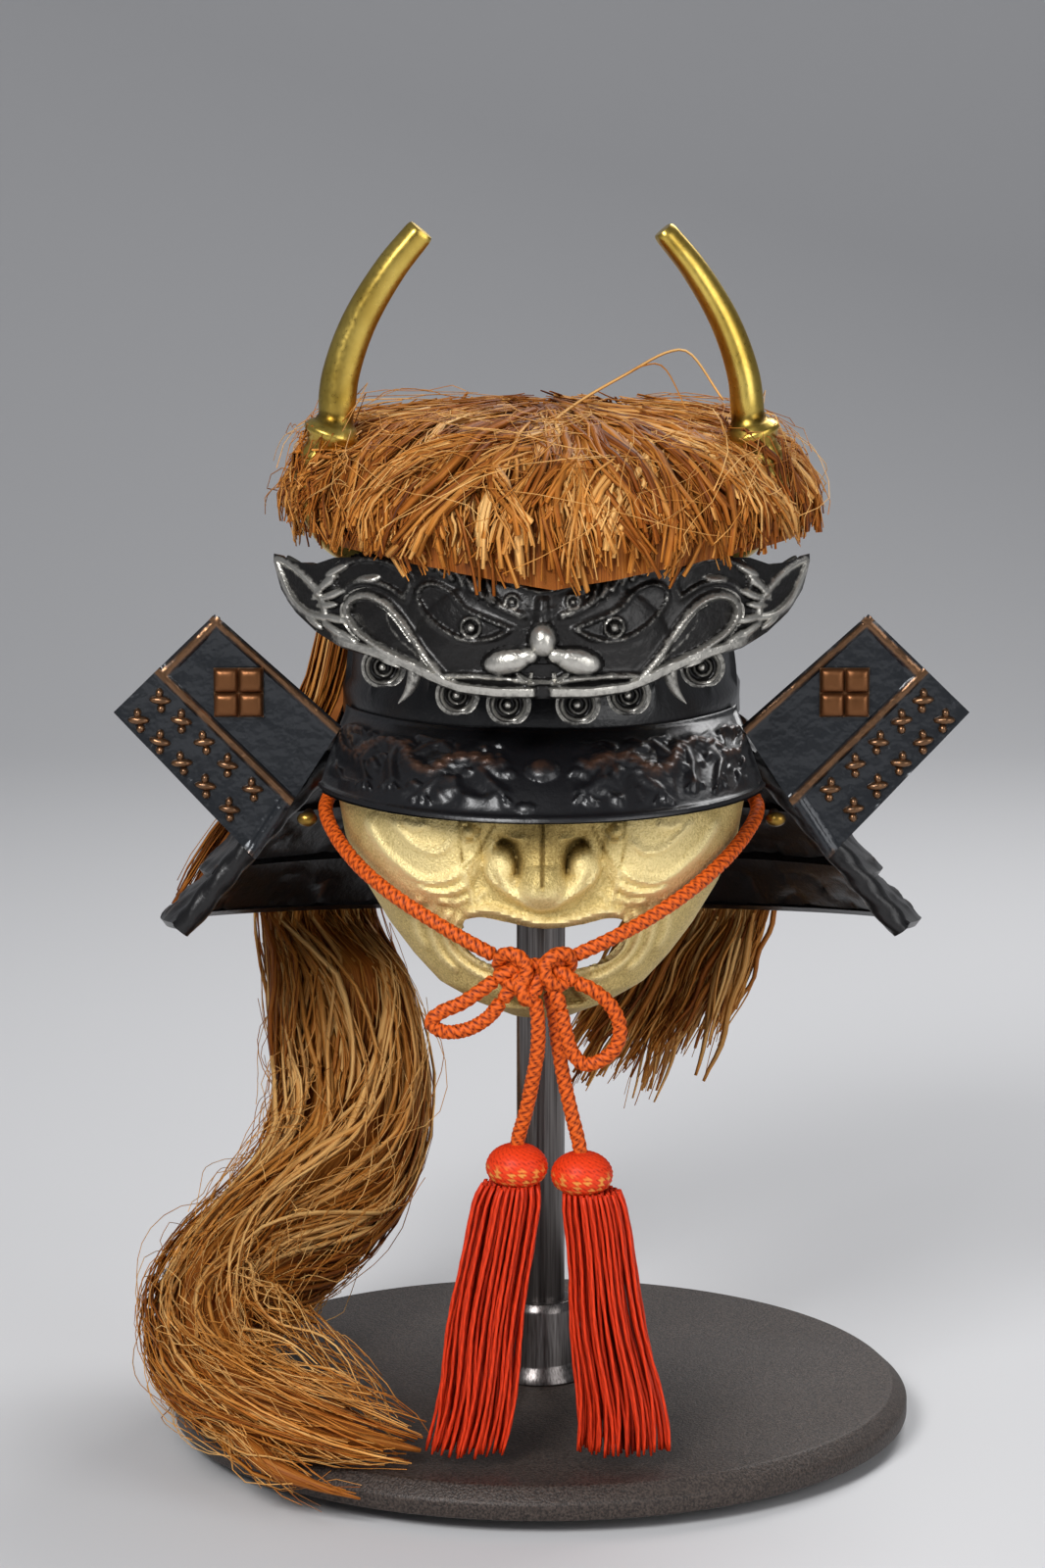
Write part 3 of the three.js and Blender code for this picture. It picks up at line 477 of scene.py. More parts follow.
def edit_all(*steps):
    """Run mesh operators, each given with its settings, on the whole of the active piece."""
    bpy.ops.object.mode_set(mode="EDIT")
    bpy.ops.mesh.select_all(action="SELECT")
    for operator, settings in steps:
        operator(**settings)
    bpy.ops.object.mode_set(mode="OBJECT")


ALIGN_FACES = (bpy.ops.mesh.normals_make_consistent, {"inside": False})
FLIP_FACES = (bpy.ops.mesh.flip_normals, {})


def cylinder(radius, low, high, vertices=64):
    bpy.ops.mesh.primitive_cylinder_add(
        vertices=vertices, radius=radius * mm, depth=(high - low) * mm, location=metres((0, 0, (low + high) / 2)),
    )
    bpy.ops.object.transform_apply(location=True, rotation=True, scale=True)
    return bpy.context.object


def curved_foot(azimuth):
    bpy.ops.mesh.primitive_grid_add(x_subdivisions=24, y_subdivisions=4, size=2)
    foot = bpy.context.object
    grid = read_points(foot)
    angle = np.radians(azimuth + grid[:, 0] * FOOT_HALF_ANGLE - 90)
    radius = np.interp(grid[:, 1], [-1, 1], FOOT_RADII)
    points = np.column_stack([radius * np.cos(angle), radius * np.sin(angle), np.full(len(grid), BASE_UNDER + 0.5)])
    write_points(foot, points * mm)
    apply_modifier(foot, "SOLIDIFY", thickness=(BASE_UNDER + 0.5) * mm, offset=-1)
    solid = read_points(foot) / mm
    angle = np.degrees(np.arctan2(solid[:, 1], solid[:, 0]))
    past = (angle - (azimuth - 90) + 180) % 360 - 180
    sloped = (past > FOOT_HALF_ANGLE - 0.1) & (solid[:, 2] < 1)
    turned = np.radians(angle[sloped] - 3.2)
    radius = np.hypot(solid[sloped, 0], solid[sloped, 1])
    solid[sloped, 0] = radius * np.cos(turned)
    solid[sloped, 1] = radius * np.sin(turned)
    write_points(foot, solid * mm)
    return foot


def finish_piece(piece, name, material, slot, *nodes):
    piece.name = name
    piece.data.name = name
    piece.data.materials.clear()
    piece.data.materials.append(material)
    select_only(piece)
    bpy.ops.object.shade_smooth_by_angle(angle=SMOOTH_ANGLE)
    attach(piece, "root")
    if nodes:
        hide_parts(*nodes)


base = cylinder(BASE_RADIUS, BASE_UNDER, BASE_TOP, 200)
bpy.ops.object.mode_set(mode="EDIT")
bpy.ops.mesh.select_all(action="DESELECT")
bpy.ops.object.mode_set(mode="OBJECT")
for face in base.data.polygons:
    face.select = face.normal.z > 0.9
bpy.ops.object.mode_set(mode="EDIT")
bpy.ops.mesh.inset(thickness=(BASE_RADIUS - BASE_TOP_RADIUS) * mm)
bpy.ops.object.mode_set(mode="OBJECT")
disc = read_points(base) / mm
rim = (np.hypot(disc[:, 0], disc[:, 1]) > BASE_RADIUS - 1) & (disc[:, 2] > BASE_TOP - 1)
disc[rim, 2] = BASE_EDGE
write_points(base, disc * mm)
join(base, [curved_foot(azimuth) for azimuth in FOOT_AZIMUTHS])
apply_modifier(base, "BEVEL", width=0.7 * mm, segments=3, limit_method="ANGLE", angle_limit=math.radians(24))


def object_place(tree):
    return add(tree, "ShaderNodeTexCoord")


def noise(tree, place, scale, detail=3.0, roughness=0.55):
    texture = add(tree, "ShaderNodeTexNoise", {"Scale": scale, "Detail": detail, "Roughness": roughness})
    wire(tree, place, "Object", texture, "Vector")
    return texture


def ramp(tree, source, socket, *stops):
    node = add(tree, "ShaderNodeValToRGB")
    elements = node.color_ramp.elements
    for element, (position, colour) in zip(elements, stops[:2]):
        element.position, element.color = position, (*colour, 1)
    for position, colour in stops[2:]:
        elements.new(position).color = (*colour, 1)
    wire(tree, source, socket, node, "Fac")
    return node


def to_range(tree, source, socket, low, high, out_low, out_high):
    node = add(tree, "ShaderNodeMapRange", {"From Min": low, "From Max": high, "To Min": out_low, "To Max": out_high})
    wire(tree, source, socket, node, "Value")
    return node


def bumped(tree, shader, source, socket, strength, distance, below=None):
    node = add(tree, "ShaderNodeBump", {"Strength": strength, "Distance": distance})
    wire(tree, source, socket, node, "Height")
    if below:
        wire(tree, below, "Normal", node, "Normal")
    wire(tree, node, "Normal", shader, "Normal")
    return node


cast_brown, tree, shader = new_finish("grainy_brown_paint")
place = object_place(tree)
grains = noise(tree, place, 1500.0, 2.0)
drift = noise(tree, place, 14.0, 4.0)
shade = ramp(tree, grains, "Fac", (0.36, (0.018, 0.013, 0.011)), (0.66, (0.075, 0.055, 0.045)))
wire(tree, shade, "Color", shader, "Base Color")
gloss = to_range(tree, drift, "Fac", 0.3, 0.7, 0.42, 0.6)
wire(tree, gloss, "Result", shader, "Roughness")
bumped(tree, shader, grains, "Fac", 0.55, 0.0005)
shader.inputs["Metallic"].default_value = 0.25
finish_piece(base, "cast_base", cast_brown, "cast_brown", "base")

# ---------------------------------------------------------------- post and socket
# A turned collar on the base grips a plain dark steel post. The pad on its end carries the crown, and a
# hidden arm carries the mask.
SOCKET_PROFILE = [(13.5, 13.3), (12.4, 15.5), (11.2, 18), (10.4, 34), (9.2, 36.5)]
socket = cylinder(SOCKET_PROFILE[0][0], SOCKET_PROFILE[0][1], SOCKET_PROFILE[-1][1], 72)
for height in (18, 15.5, 34):
    edit_all((bpy.ops.mesh.bisect, {"plane_co": metres((0, 0, height)), "plane_no": (0, 0, 1)}))
collar = read_points(socket) / mm
radii = np.interp(collar[:, 2], [z for _, z in SOCKET_PROFILE], [r for r, _ in SOCKET_PROFILE])
collar[:, 0:2] *= (radii / SOCKET_PROFILE[0][0])[:, None]
write_points(socket, collar * mm)
apply_modifier(socket, "BEVEL", width=0.4 * mm, segments=2, limit_method="ANGLE", angle_limit=math.radians(20))

dark_steel, tree, shader = new_finish("dark_brushed_steel")
place = object_place(tree)
stretch = add(tree, "ShaderNodeMapping")
stretch.inputs["Scale"].default_value = (1, 1, 0.02)
wire(tree, place, "Object", stretch, "Vector")
lines = add(tree, "ShaderNodeTexNoise", {"Scale": 1800.0, "Detail": 2.0})
wire(tree, stretch, "Vector", lines, "Vector")
shade = ramp(tree, lines, "Fac", (0.3, (0.06, 0.052, 0.05)), (0.7, (0.17, 0.155, 0.15)))
wire(tree, shade, "Color", shader, "Base Color")
bumped(tree, shader, lines, "Fac", 0.15, 0.0002)
shader.inputs["Metallic"].default_value = 0.9
shader.inputs["Roughness"].default_value = 0.28
finish_piece(socket, "post_collar", dark_steel, "dark_steel", "post_socket")
post = cylinder(7.0, 14.0, 261.5, 64)
apply_modifier(post, "BEVEL", width=0.5 * mm, segments=2, limit_method="ANGLE")
finish_piece(post, "steel_post", dark_steel, "dark_steel", "post")
for node, material in (("head_rest", cast_brown), ("mask_bracket", dark_steel)):
    bpy.data.objects[node].data.materials.clear()
    bpy.data.objects[node].data.materials.append(material)

# ---------------------------------------------------------------- bowl
# The iron bowl of the helmet: a dome with standing ribs and sunken panels over a plain band, blackened and
# rubbed back to brown along its edges.
BOWL = {"half_width": 55.5, "half_depth": 64.0, "centre_y": 2.0, "rim": 210.0, "crown": 282.0, "wall": 2.0}
RIB_COUNT, RIB_HEIGHT, BAND_TOP = 16, 1.15, 218.5


def smooth_step(low, high, value):
    t = np.clip((value - low) / (high - low), 0, 1)
    return t * t * (3 - 2 * t)


def bell(value, centre, width):
    return np.exp(-(((value - centre) / width) ** 2))


def lumps(u, v, seed):
    """Smooth random values from 0 to 1, one lump to a unit."""
    table = np.random.default_rng(seed).random((64, 64))
    iu, iv = np.floor(u).astype(int), np.floor(v).astype(int)
    fu, fv = smooth_step(0, 1, u - iu), smooth_step(0, 1, v - iv)
    iu, iv = iu % 64, iv % 64
    ju, jv = (iu + 1) % 64, (iv + 1) % 64
    low = table[iu, iv] * (1 - fu) + table[ju, iv] * fu
    high = table[iu, jv] * (1 - fu) + table[ju, jv] * fu
    return low * (1 - fv) + high * fv


def sculpted_wall(columns, rows, shape, wall, centre, closes=False):
    """A wall whose outer face is a function of across and up, both from 0 to 1, in millimetres.

    The function gives the points and how high the relief stands there."""
    bpy.ops.mesh.primitive_grid_add(x_subdivisions=columns, y_subdivisions=rows, size=2)
    piece = bpy.context.object
    grid = read_points(piece)
    points, height = shape((grid[:, 0] + 1) / 2, (grid[:, 1] + 1) / 2)
    write_points(piece, points * mm)
    set_values(piece, relief=height)
    merge = [(bpy.ops.mesh.remove_doubles, {"threshold": 0.01 * mm})] if closes else []
    edit_all(*merge, ALIGN_FACES)
    count = len(piece.data.polygons)
    normals, middles = np.empty(count * 3), np.empty(count * 3)
    piece.data.polygons.foreach_get("normal", normals)
    piece.data.polygons.foreach_get("center", middles)
    outwards = middles.reshape(-1, 3) - np.array(metres(centre))
    if np.sum(normals.reshape(-1, 3) * outwards) < 0:
        edit_all(FLIP_FACES)
    if wall:
        apply_modifier(piece, "SOLIDIFY", thickness=wall * mm, offset=-1, use_even_offset=False)
    return piece


def bowl_shape(across, up):
    angle = across * 2 * math.pi
    climb = up * math.pi / 2
    z = BOWL["rim"] + (BOWL["crown"] - BOWL["rim"]) * np.sin(climb) ** 0.833
    pitch = 2 * math.pi / RIB_COUNT
    from_rib = np.abs((angle % pitch) - pitch / 2) * BOWL["half_width"] * np.cos(climb)
    panel = smooth_step(0.5, 1.3, from_rib) * smooth_step(BAND_TOP, BAND_TOP + 1.3, z)
    panel *= 1 - smooth_step(272, 274, z)
    bead = 0.5 * bell(z, BAND_TOP - 1.2, 0.7) + 0.4 * bell(z, BOWL["rim"] + 1, 0.8)
    dents = 0.22 * lumps(across * 60 % 60, z / 5, 3)
    height = (RIB_HEIGHT * (1 - panel) + bead + dents) * np.cos(climb) ** 0.4
    points = np.column_stack([
        (BOWL["half_width"] * np.cos(climb) + height) * np.sin(angle),
        BOWL["centre_y"] - (BOWL["half_depth"] * np.cos(climb) + height) * np.cos(angle),
        z,
    ])
    return points, (1 - panel) * 0.55 + bead + dents * 0.5


def worn_group():
    """Paint or patina that is rubbed through where the relief stands high, broken up by noise."""
    group = bpy.data.node_groups.new("rubbed_through", "ShaderNodeTree")
    for key, kind in (("Ground", "Color"), ("Worn", "Color"), ("Relief", "Float"), ("From", "Float"),
                      ("To", "Float"), ("Scale", "Float"), ("Break", "Float")):
        group.interface.new_socket(key, in_out="INPUT", socket_type="NodeSocket" + kind)
    for key, kind in (("Color", "Color"), ("Mask", "Float"), ("Grain", "Float")):
        group.interface.new_socket(key, in_out="OUTPUT", socket_type="NodeSocket" + kind)
    given, result = group.nodes.new("NodeGroupInput"), group.nodes.new("NodeGroupOutput")
    place = object_place(group)
    patches = add(group, "ShaderNodeTexNoise", {"Detail": 5.0, "Roughness": 0.65})
    wire(group, place, "Object", patches, "Vector")
    wire(group, given, "Scale", patches, "Scale")
    centred = add(group, "ShaderNodeMath", operation="SUBTRACT")
    centred.inputs[1].default_value = 0.5
    wire(group, patches, "Fac", centred, 0)
    broken = add(group, "ShaderNodeMath", operation="MULTIPLY_ADD")
    wire(group, centred, "Value", broken, 0)
    wire(group, given, "Break", broken, 1)
    wire(group, given, "Relief", broken, 2)
    mask = add(group, "ShaderNodeMapRange", interpolation_type="SMOOTHSTEP")
    wire(group, broken, "Value", mask, "Value")
    wire(group, given, "From", mask, "From Min")
    wire(group, given, "To", mask, "From Max")
    colour = add(group, "ShaderNodeMix", data_type="RGBA")
    wire(group, mask, "Result", colour, "Factor")
    wire(group, given, "Ground", colour, "A")
    wire(group, given, "Worn", colour, "B")
    wire(group, colour, "Result", result, "Color")
    wire(group, mask, "Result", result, "Mask")
    wire(group, patches, "Fac", result, "Grain")
    return group


rubbed_through = worn_group()


def rubbed(name, ground, worn, start, stop, scale, breaking, rough, metal, bump, coat=0.0):
    """A finish of the ground colour with the worn one on the raised relief."""
    material, tree, shader = new_finish(name)
    relief = add(tree, "ShaderNodeAttribute", attribute_name="relief")
    wear = add(tree, "ShaderNodeGroup", node_tree=rubbed_through)
    settings = {
        "Ground": (*ground, 1), "Worn": (*worn, 1), "From": start, "To": stop, "Scale": scale, "Break": breaking,
    }
    for key, value in settings.items():
        wear.inputs[key].default_value = value
    wire(tree, relief, "Fac", wear, "Relief")
    wire(tree, wear, "Color", shader, "Base Color")
    gloss = to_range(tree, wear, "Mask", 0, 1, rough[0], rough[1])
    wire(tree, gloss, "Result", shader, "Roughness")
    shine = to_range(tree, wear, "Mask", 0, 1, metal[0], metal[1])
    wire(tree, shine, "Result", shader, "Metallic")
    place = object_place(tree)
    fine = noise(tree, place, bump[0], 3.0)
    bumped(tree, shader, fine, "Fac", bump[1], bump[2])
    shader.inputs["Coat Weight"].default_value = coat
    shader.inputs["Coat Roughness"].default_value = 0.3
    return material


black_bowl = rubbed(
    "blackened_iron", (0.006, 0.006, 0.007), (0.05, 0.035, 0.03), 0.75, 1.6, 260.0, 0.9,
    (0.34, 0.36), (0.25, 0.6), (800.0, 0.45, 0.0004), 0.25,
)
bowl = sculpted_wall(216, 44, bowl_shape, BOWL["wall"], (0, 2, 225), closes=True)
finish_piece(bowl, "ribbed_bowl", black_bowl, "black_iron", "bowl")

# ---------------------------------------------------------------- visor
# A cast brim below the bowl with a thin rolled lip. Two dragons face a pearl on it in relief, and the brown
# metal shows where the black is rubbed off them.
VISOR = {"spread": 72.0, "lip_half_width": 64.1, "lip_front": -97.0, "lip_end": -50.0, "lip": 192.6,
         "root": 213.0, "wall": 2.2}
# One dragon: ways along the brim in millimetres from the middle, ways out from 0 at the bowl to 1 at the lip.
DRAGON_BODY = [(-11, 0.52), (-17, 0.44), (-22, 0.5), (-26, 0.62), (-31, 0.55), (-34, 0.38), (-40, 0.33),
               (-46, 0.42), (-51, 0.55), (-57, 0.5), (-60, 0.36), (-55, 0.26), (-50, 0.25)]
DRAGON_LIMBS = [
    [(-23, 0.55), (-24, 0.68), (-27, 0.8)], [(-36, 0.4), (-37, 0.55), (-36, 0.72)],
    [(-15, 0.5), (-12, 0.66), (-9, 0.76)], [(-44, 0.42), (-47, 0.6), (-44, 0.76)],
    [(-20, 0.42), (-24, 0.28), (-30, 0.22)], [(-31, 0.45), (-27, 0.32), (-22, 0.24)],
]
DRAGON_HEAD = [(-9.5, 0.5, 2.6, 2.0), (-12.5, 0.44, 3.0, 1.8), (-7.5, 0.58, 1.8, 1.4), (-13, 0.33, 2.2, 1.0)]


def stroke(x, z, route, width, taper=0.0):
    """A rounded ridge along a broken line, 1 on the line; taper thins it towards its end."""
    best = np.full(len(x), 1e9)
    way = np.zeros(len(x))
    count = len(route) - 1
    for index, (start, end) in enumerate(zip(route[:-1], route[1:])):
        dx, dz = end[0] - start[0], end[1] - start[1]
        t = np.clip(((x - start[0]) * dx + (z - start[1]) * dz) / (dx * dx + dz * dz), 0, 1)
        distance = np.hypot(x - start[0] - t * dx, z - start[1] - t * dz)
        closer = distance < best
        best = np.where(closer, distance, best)
        way = np.where(closer, (index + t) / count, way)
    width = width * (1 - taper * way)
    return np.exp(-((best / width) ** 2)) * (1 - taper * 0.4 * way), way


def drawn(route, spacing=1.1):
    """The same line as a smooth curve."""
    return smooth_route([(x, 0, z) for x, z in route], spacing)[:, [0, 2]]


def dome(x, z, cx, cz, rx, rz, tilt=0.0):
    """A half ellipsoid, 1 at its middle and 0 outside its edge."""
    cosine, sine = math.cos(tilt), math.sin(tilt)
    u = ((x - cx) * cosine + (z - cz) * sine) / rx
    v = (-(x - cx) * sine + (z - cz) * cosine) / rz
    return np.sqrt(np.clip(1 - u * u - v * v, 0, 1))


def dragon(x, out, seed):
    """Relief of one dragon on the left half; x and out are both in millimetres."""
    scale = [(px, pz * 36) for px, pz in DRAGON_BODY]
    body, way = stroke(x, out, drawn(scale), 3.7, 0.45)
    scales = 0.8 + 0.2 * np.abs(np.sin(way * 70)) * np.abs(np.cos(out * 1.6 + x * 0.3))
    height = 2.6 * body * scales
    for index, limb in enumerate(DRAGON_LIMBS):
        leg, _ = stroke(x, out, [(px, pz * 36) for px, pz in limb], 2.3, 0.3)
        height = np.maximum(height, 1.7 * leg)
        ex, ez = limb[-1][0], limb[-1][1] * 36
        for claw in (-1, 0, 1):
            toe, _ = stroke(x, out, [(ex, ez), (ex + claw * 2.2 - 0.5, ez + 2.8)], 1.0, 0.4)
            height = np.maximum(height, (1.3 if index < 4 else 0.8) * toe)
    for cx, cz, radius, tall in DRAGON_HEAD:
        height = np.maximum(height, tall * dome(x, out, cx, cz * 36, radius, radius))
    flames = np.clip(lumps(x / 3.3 + 20, out / 3.0, seed) - 0.44, 0, 1) * 3.6
    spread = smooth_step(-64, -56, x) * smooth_step(-6, -10, x) * smooth_step(6, 11, out) * smooth_step(33, 28, out)
    return np.maximum(height, flames * spread)


def visor_face(across, out):
    angle = np.radians((across * 2 - 1) * VISOR["spread"])
    side = np.sin(angle)
    edge = math.cos(math.radians(VISOR["spread"]))
    in_front = (np.cos(angle) - edge) / (1 - edge)
    root = np.column_stack([
        (BOWL["half_width"] + 1.7) * side,
        BOWL["centre_y"] - (BOWL["half_depth"] + 1.7) * np.cos(angle), np.full(len(angle), VISOR["root"]),
    ])
    lip = np.column_stack([
        VISOR["lip_half_width"] * side,
        VISOR["lip_end"] + (VISOR["lip_front"] - VISOR["lip_end"]) * in_front,
        VISOR["lip"] + 1.9 * (1 - in_front),
    ])
    points = root + (lip - root) * out[:, None]
    arch = np.sin(math.pi * out)
    points[:, 2] += 3 * arch * (0.2 + 0.8 * in_front)
    points[:, 1] -= 2 * arch * in_front
    return points


def visor_shape(across, out):
    points = visor_face(across, out)
    x, far = points[:, 0], out * 36
    along = (across * 2 - 1) * 64
    left, right = dragon(-np.abs(along), far, 5), dragon(-np.abs(along), far + 0.6 * np.sin(along), 9)
    relief_here = np.where(along < 0, left, right)
    pearl = 2.2 * dome(along, far, 0, 19.5, 3.9, 3.9)
    drop = 1.0 * dome(along, far, -3.6, 31.5, 2.2, 1.6)
    relief_here = np.maximum(relief_here, np.maximum(pearl, drop))
    relief_here *= smooth_step(0.05, 0.14, out) * smooth_step(1.0, 0.9, out)
    rolled = 0.9 * bell(out, 0.975, 0.03) + 0.6 * bell(out, 0.02, 0.03)
    ends = 0.7 * bell(np.abs(across - 0.5), 0.495, 0.012)
    height = relief_here + rolled + ends + 0.12 * lumps(x / 4 + 30, far / 4, 11)
    slope = unit(np.column_stack([x * 0.5, points[:, 1] * 0.5 - 10, np.full(len(x), 62.0)]))
    return points + slope * height[:, None], relief_here / 2.2 + 0.2 * rolled


visor = sculpted_wall(280, 68, visor_shape, VISOR["wall"], (0, -30, 150))
copper_rub = rubbed(
    "black_over_copper", (0.0065, 0.0065, 0.008), (0.10, 0.046, 0.026), 0.62, 1.3, 260.0, 1.0,
    (0.36, 0.45), (0.25, 0.65), (700.0, 0.45, 0.0004), 0.3,
)
finish_piece(visor, "dragon_visor", copper_rub, "black_iron", "visor")

# ---------------------------------------------------------------- crest
# The wide grinning face of a lion demon, cast in one piece, blackened, with silver rubbed over its edges:
# leaf ears, a mane of ridges, long cheek leaves, eyes, a knob nose, moustache pads, curls and fangs below.
CREST_HALF_WIDTH, CREST_FRONT, CREST_SWEEP, CREST_WALL = 73.5, -88.0, 48.0, 3.2
CREST_LOW = [(0, 225.4), (12, 225.2), (22, 226), (30, 228.6), (38, 231.8), (46, 233.8), (54, 235.4),
             (61, 238.8), (67, 243.4), (71.5, 249.4), (73.5, 256.6)]
CREST_HIGH = [(0, 262), (40, 261.4), (56, 259.6), (62, 257), (67, 257.2), (73.5, 258.6)]
# Outlines and lines of the face on its right half, as x and z in millimetres.
CHEEK_LEAF = [(26, 229.9), (31.2, 232.2), (39, 234.9), (44.6, 237.4), (50, 241.2), (52.4, 245.2), (51.4, 248.4),
              (47.7, 250.2), (42.9, 249.2), (39, 246), (35, 240.9), (31.1, 235.6)]
LEAF_VEIN = [(28, 231.2), (33.5, 235.6), (38.4, 239.8), (41.4, 244.4), (41, 247)]
EYE_LOBE = [(8.4, 243.9), (13.8, 241.2), (20.2, 240.6), (26.6, 243.2), (31.6, 247.8), (33.2, 252), (30, 254.6),
            (25, 253.2), (20, 248.6), (14, 246.2)]
EAR_LEAF = [(58.6, 243.2), (63, 243.6), (67.6, 246.8), (70.6, 251.6), (72.6, 256.8), (67.6, 255.4), (62.6, 251.6),
            (59.2, 247.4)]
CROWN_LOBE = [(36.6, 250.6), (43, 253.8), (50, 253.8), (54.6, 250.6), (56.4, 254.6), (50, 259.4), (41, 259.6),
              (35.4, 255.4)]
BROW = [(5.2, 247.6), (10, 249.2), (15.6, 252.8), (21, 257.4), (27, 261)]
SMILE = [(2.6, 229.6), (8, 230.6), (14, 231), (20, 231), (25.4, 230.6)]
# Locks of the mane as their middle, half length, half width and slope.
MANE = [
    (55.2, 256.2, 4.0, 1.2, -0.5), (57.6, 253.0, 4.4, 1.3, -0.75), (56.4, 249.6, 4.2, 1.2, -0.45),
    (58.0, 246.6, 3.6, 1.1, -0.2), (55.6, 243.2, 4.2, 1.3, 0.1), (55.8, 240.0, 4.4, 1.3, 0.5),
    (51.4, 238.2, 4.4, 1.3, 0.55), (61.6, 241.6, 3.4, 1.1, 0.6), (46.4, 255.0, 3.6, 1.1, -0.2),
    (45.4, 235.2, 3.6, 1.2, 0.4), (60.4, 249.8, 3.6, 1.0, -0.9), (40.4, 232.6, 3.2, 1.1, 0.35),
]
COMB_LINES = [[(13 + 2.7 * k, 251.2 + 1.3 * k), (14.6 + 2.9 * k, 256.4 + 1.0 * k), (12.8 + 3.1 * k, 261.2)]
              for k in range(7)]
CURL_PLACES = [(9.2, 223.2, 4.9), (22.8, 225.2, 4.8), (42.8, 231.2, 5.0)]


def crest_depth(x):
    return CREST_FRONT + CREST_SWEEP * (x / CREST_HALF_WIDTH) ** 2


def table_values(table, x):
    return np.interp(np.abs(x), [row[0] for row in table], [row[1] for row in table])


def inside_outline(x, z, outline):
    """Whether each place lies inside a closed outline, by counting the crossings of a ray."""
    inside = np.zeros(len(x), dtype=bool)
    for (ax, az), (bx, bz) in zip(outline, np.roll(outline, -1, axis=0)):
        if az != bz:
            crosses = (az > z) != (bz > z)
            inside ^= crosses & (x < (bx - ax) * (z - az) / (bz - az) + ax)
    return inside


def leaf_shape(x, z, outline, hollow, wall):
    """How deep inside the outline a place lies, from 0 to 1 over the wall, and how near it is to the outline."""
    closed = drawn(outline + outline[:1], 0.8)
    near, _ = stroke(x, z, closed, 1.0)
    distance = np.sqrt(-np.log(np.maximum(near, 1e-12)))
    inside = inside_outline(x, z, closed)
    depth = np.where(inside, smooth_step(0, wall, distance), 0)
    return hollow * depth, distance


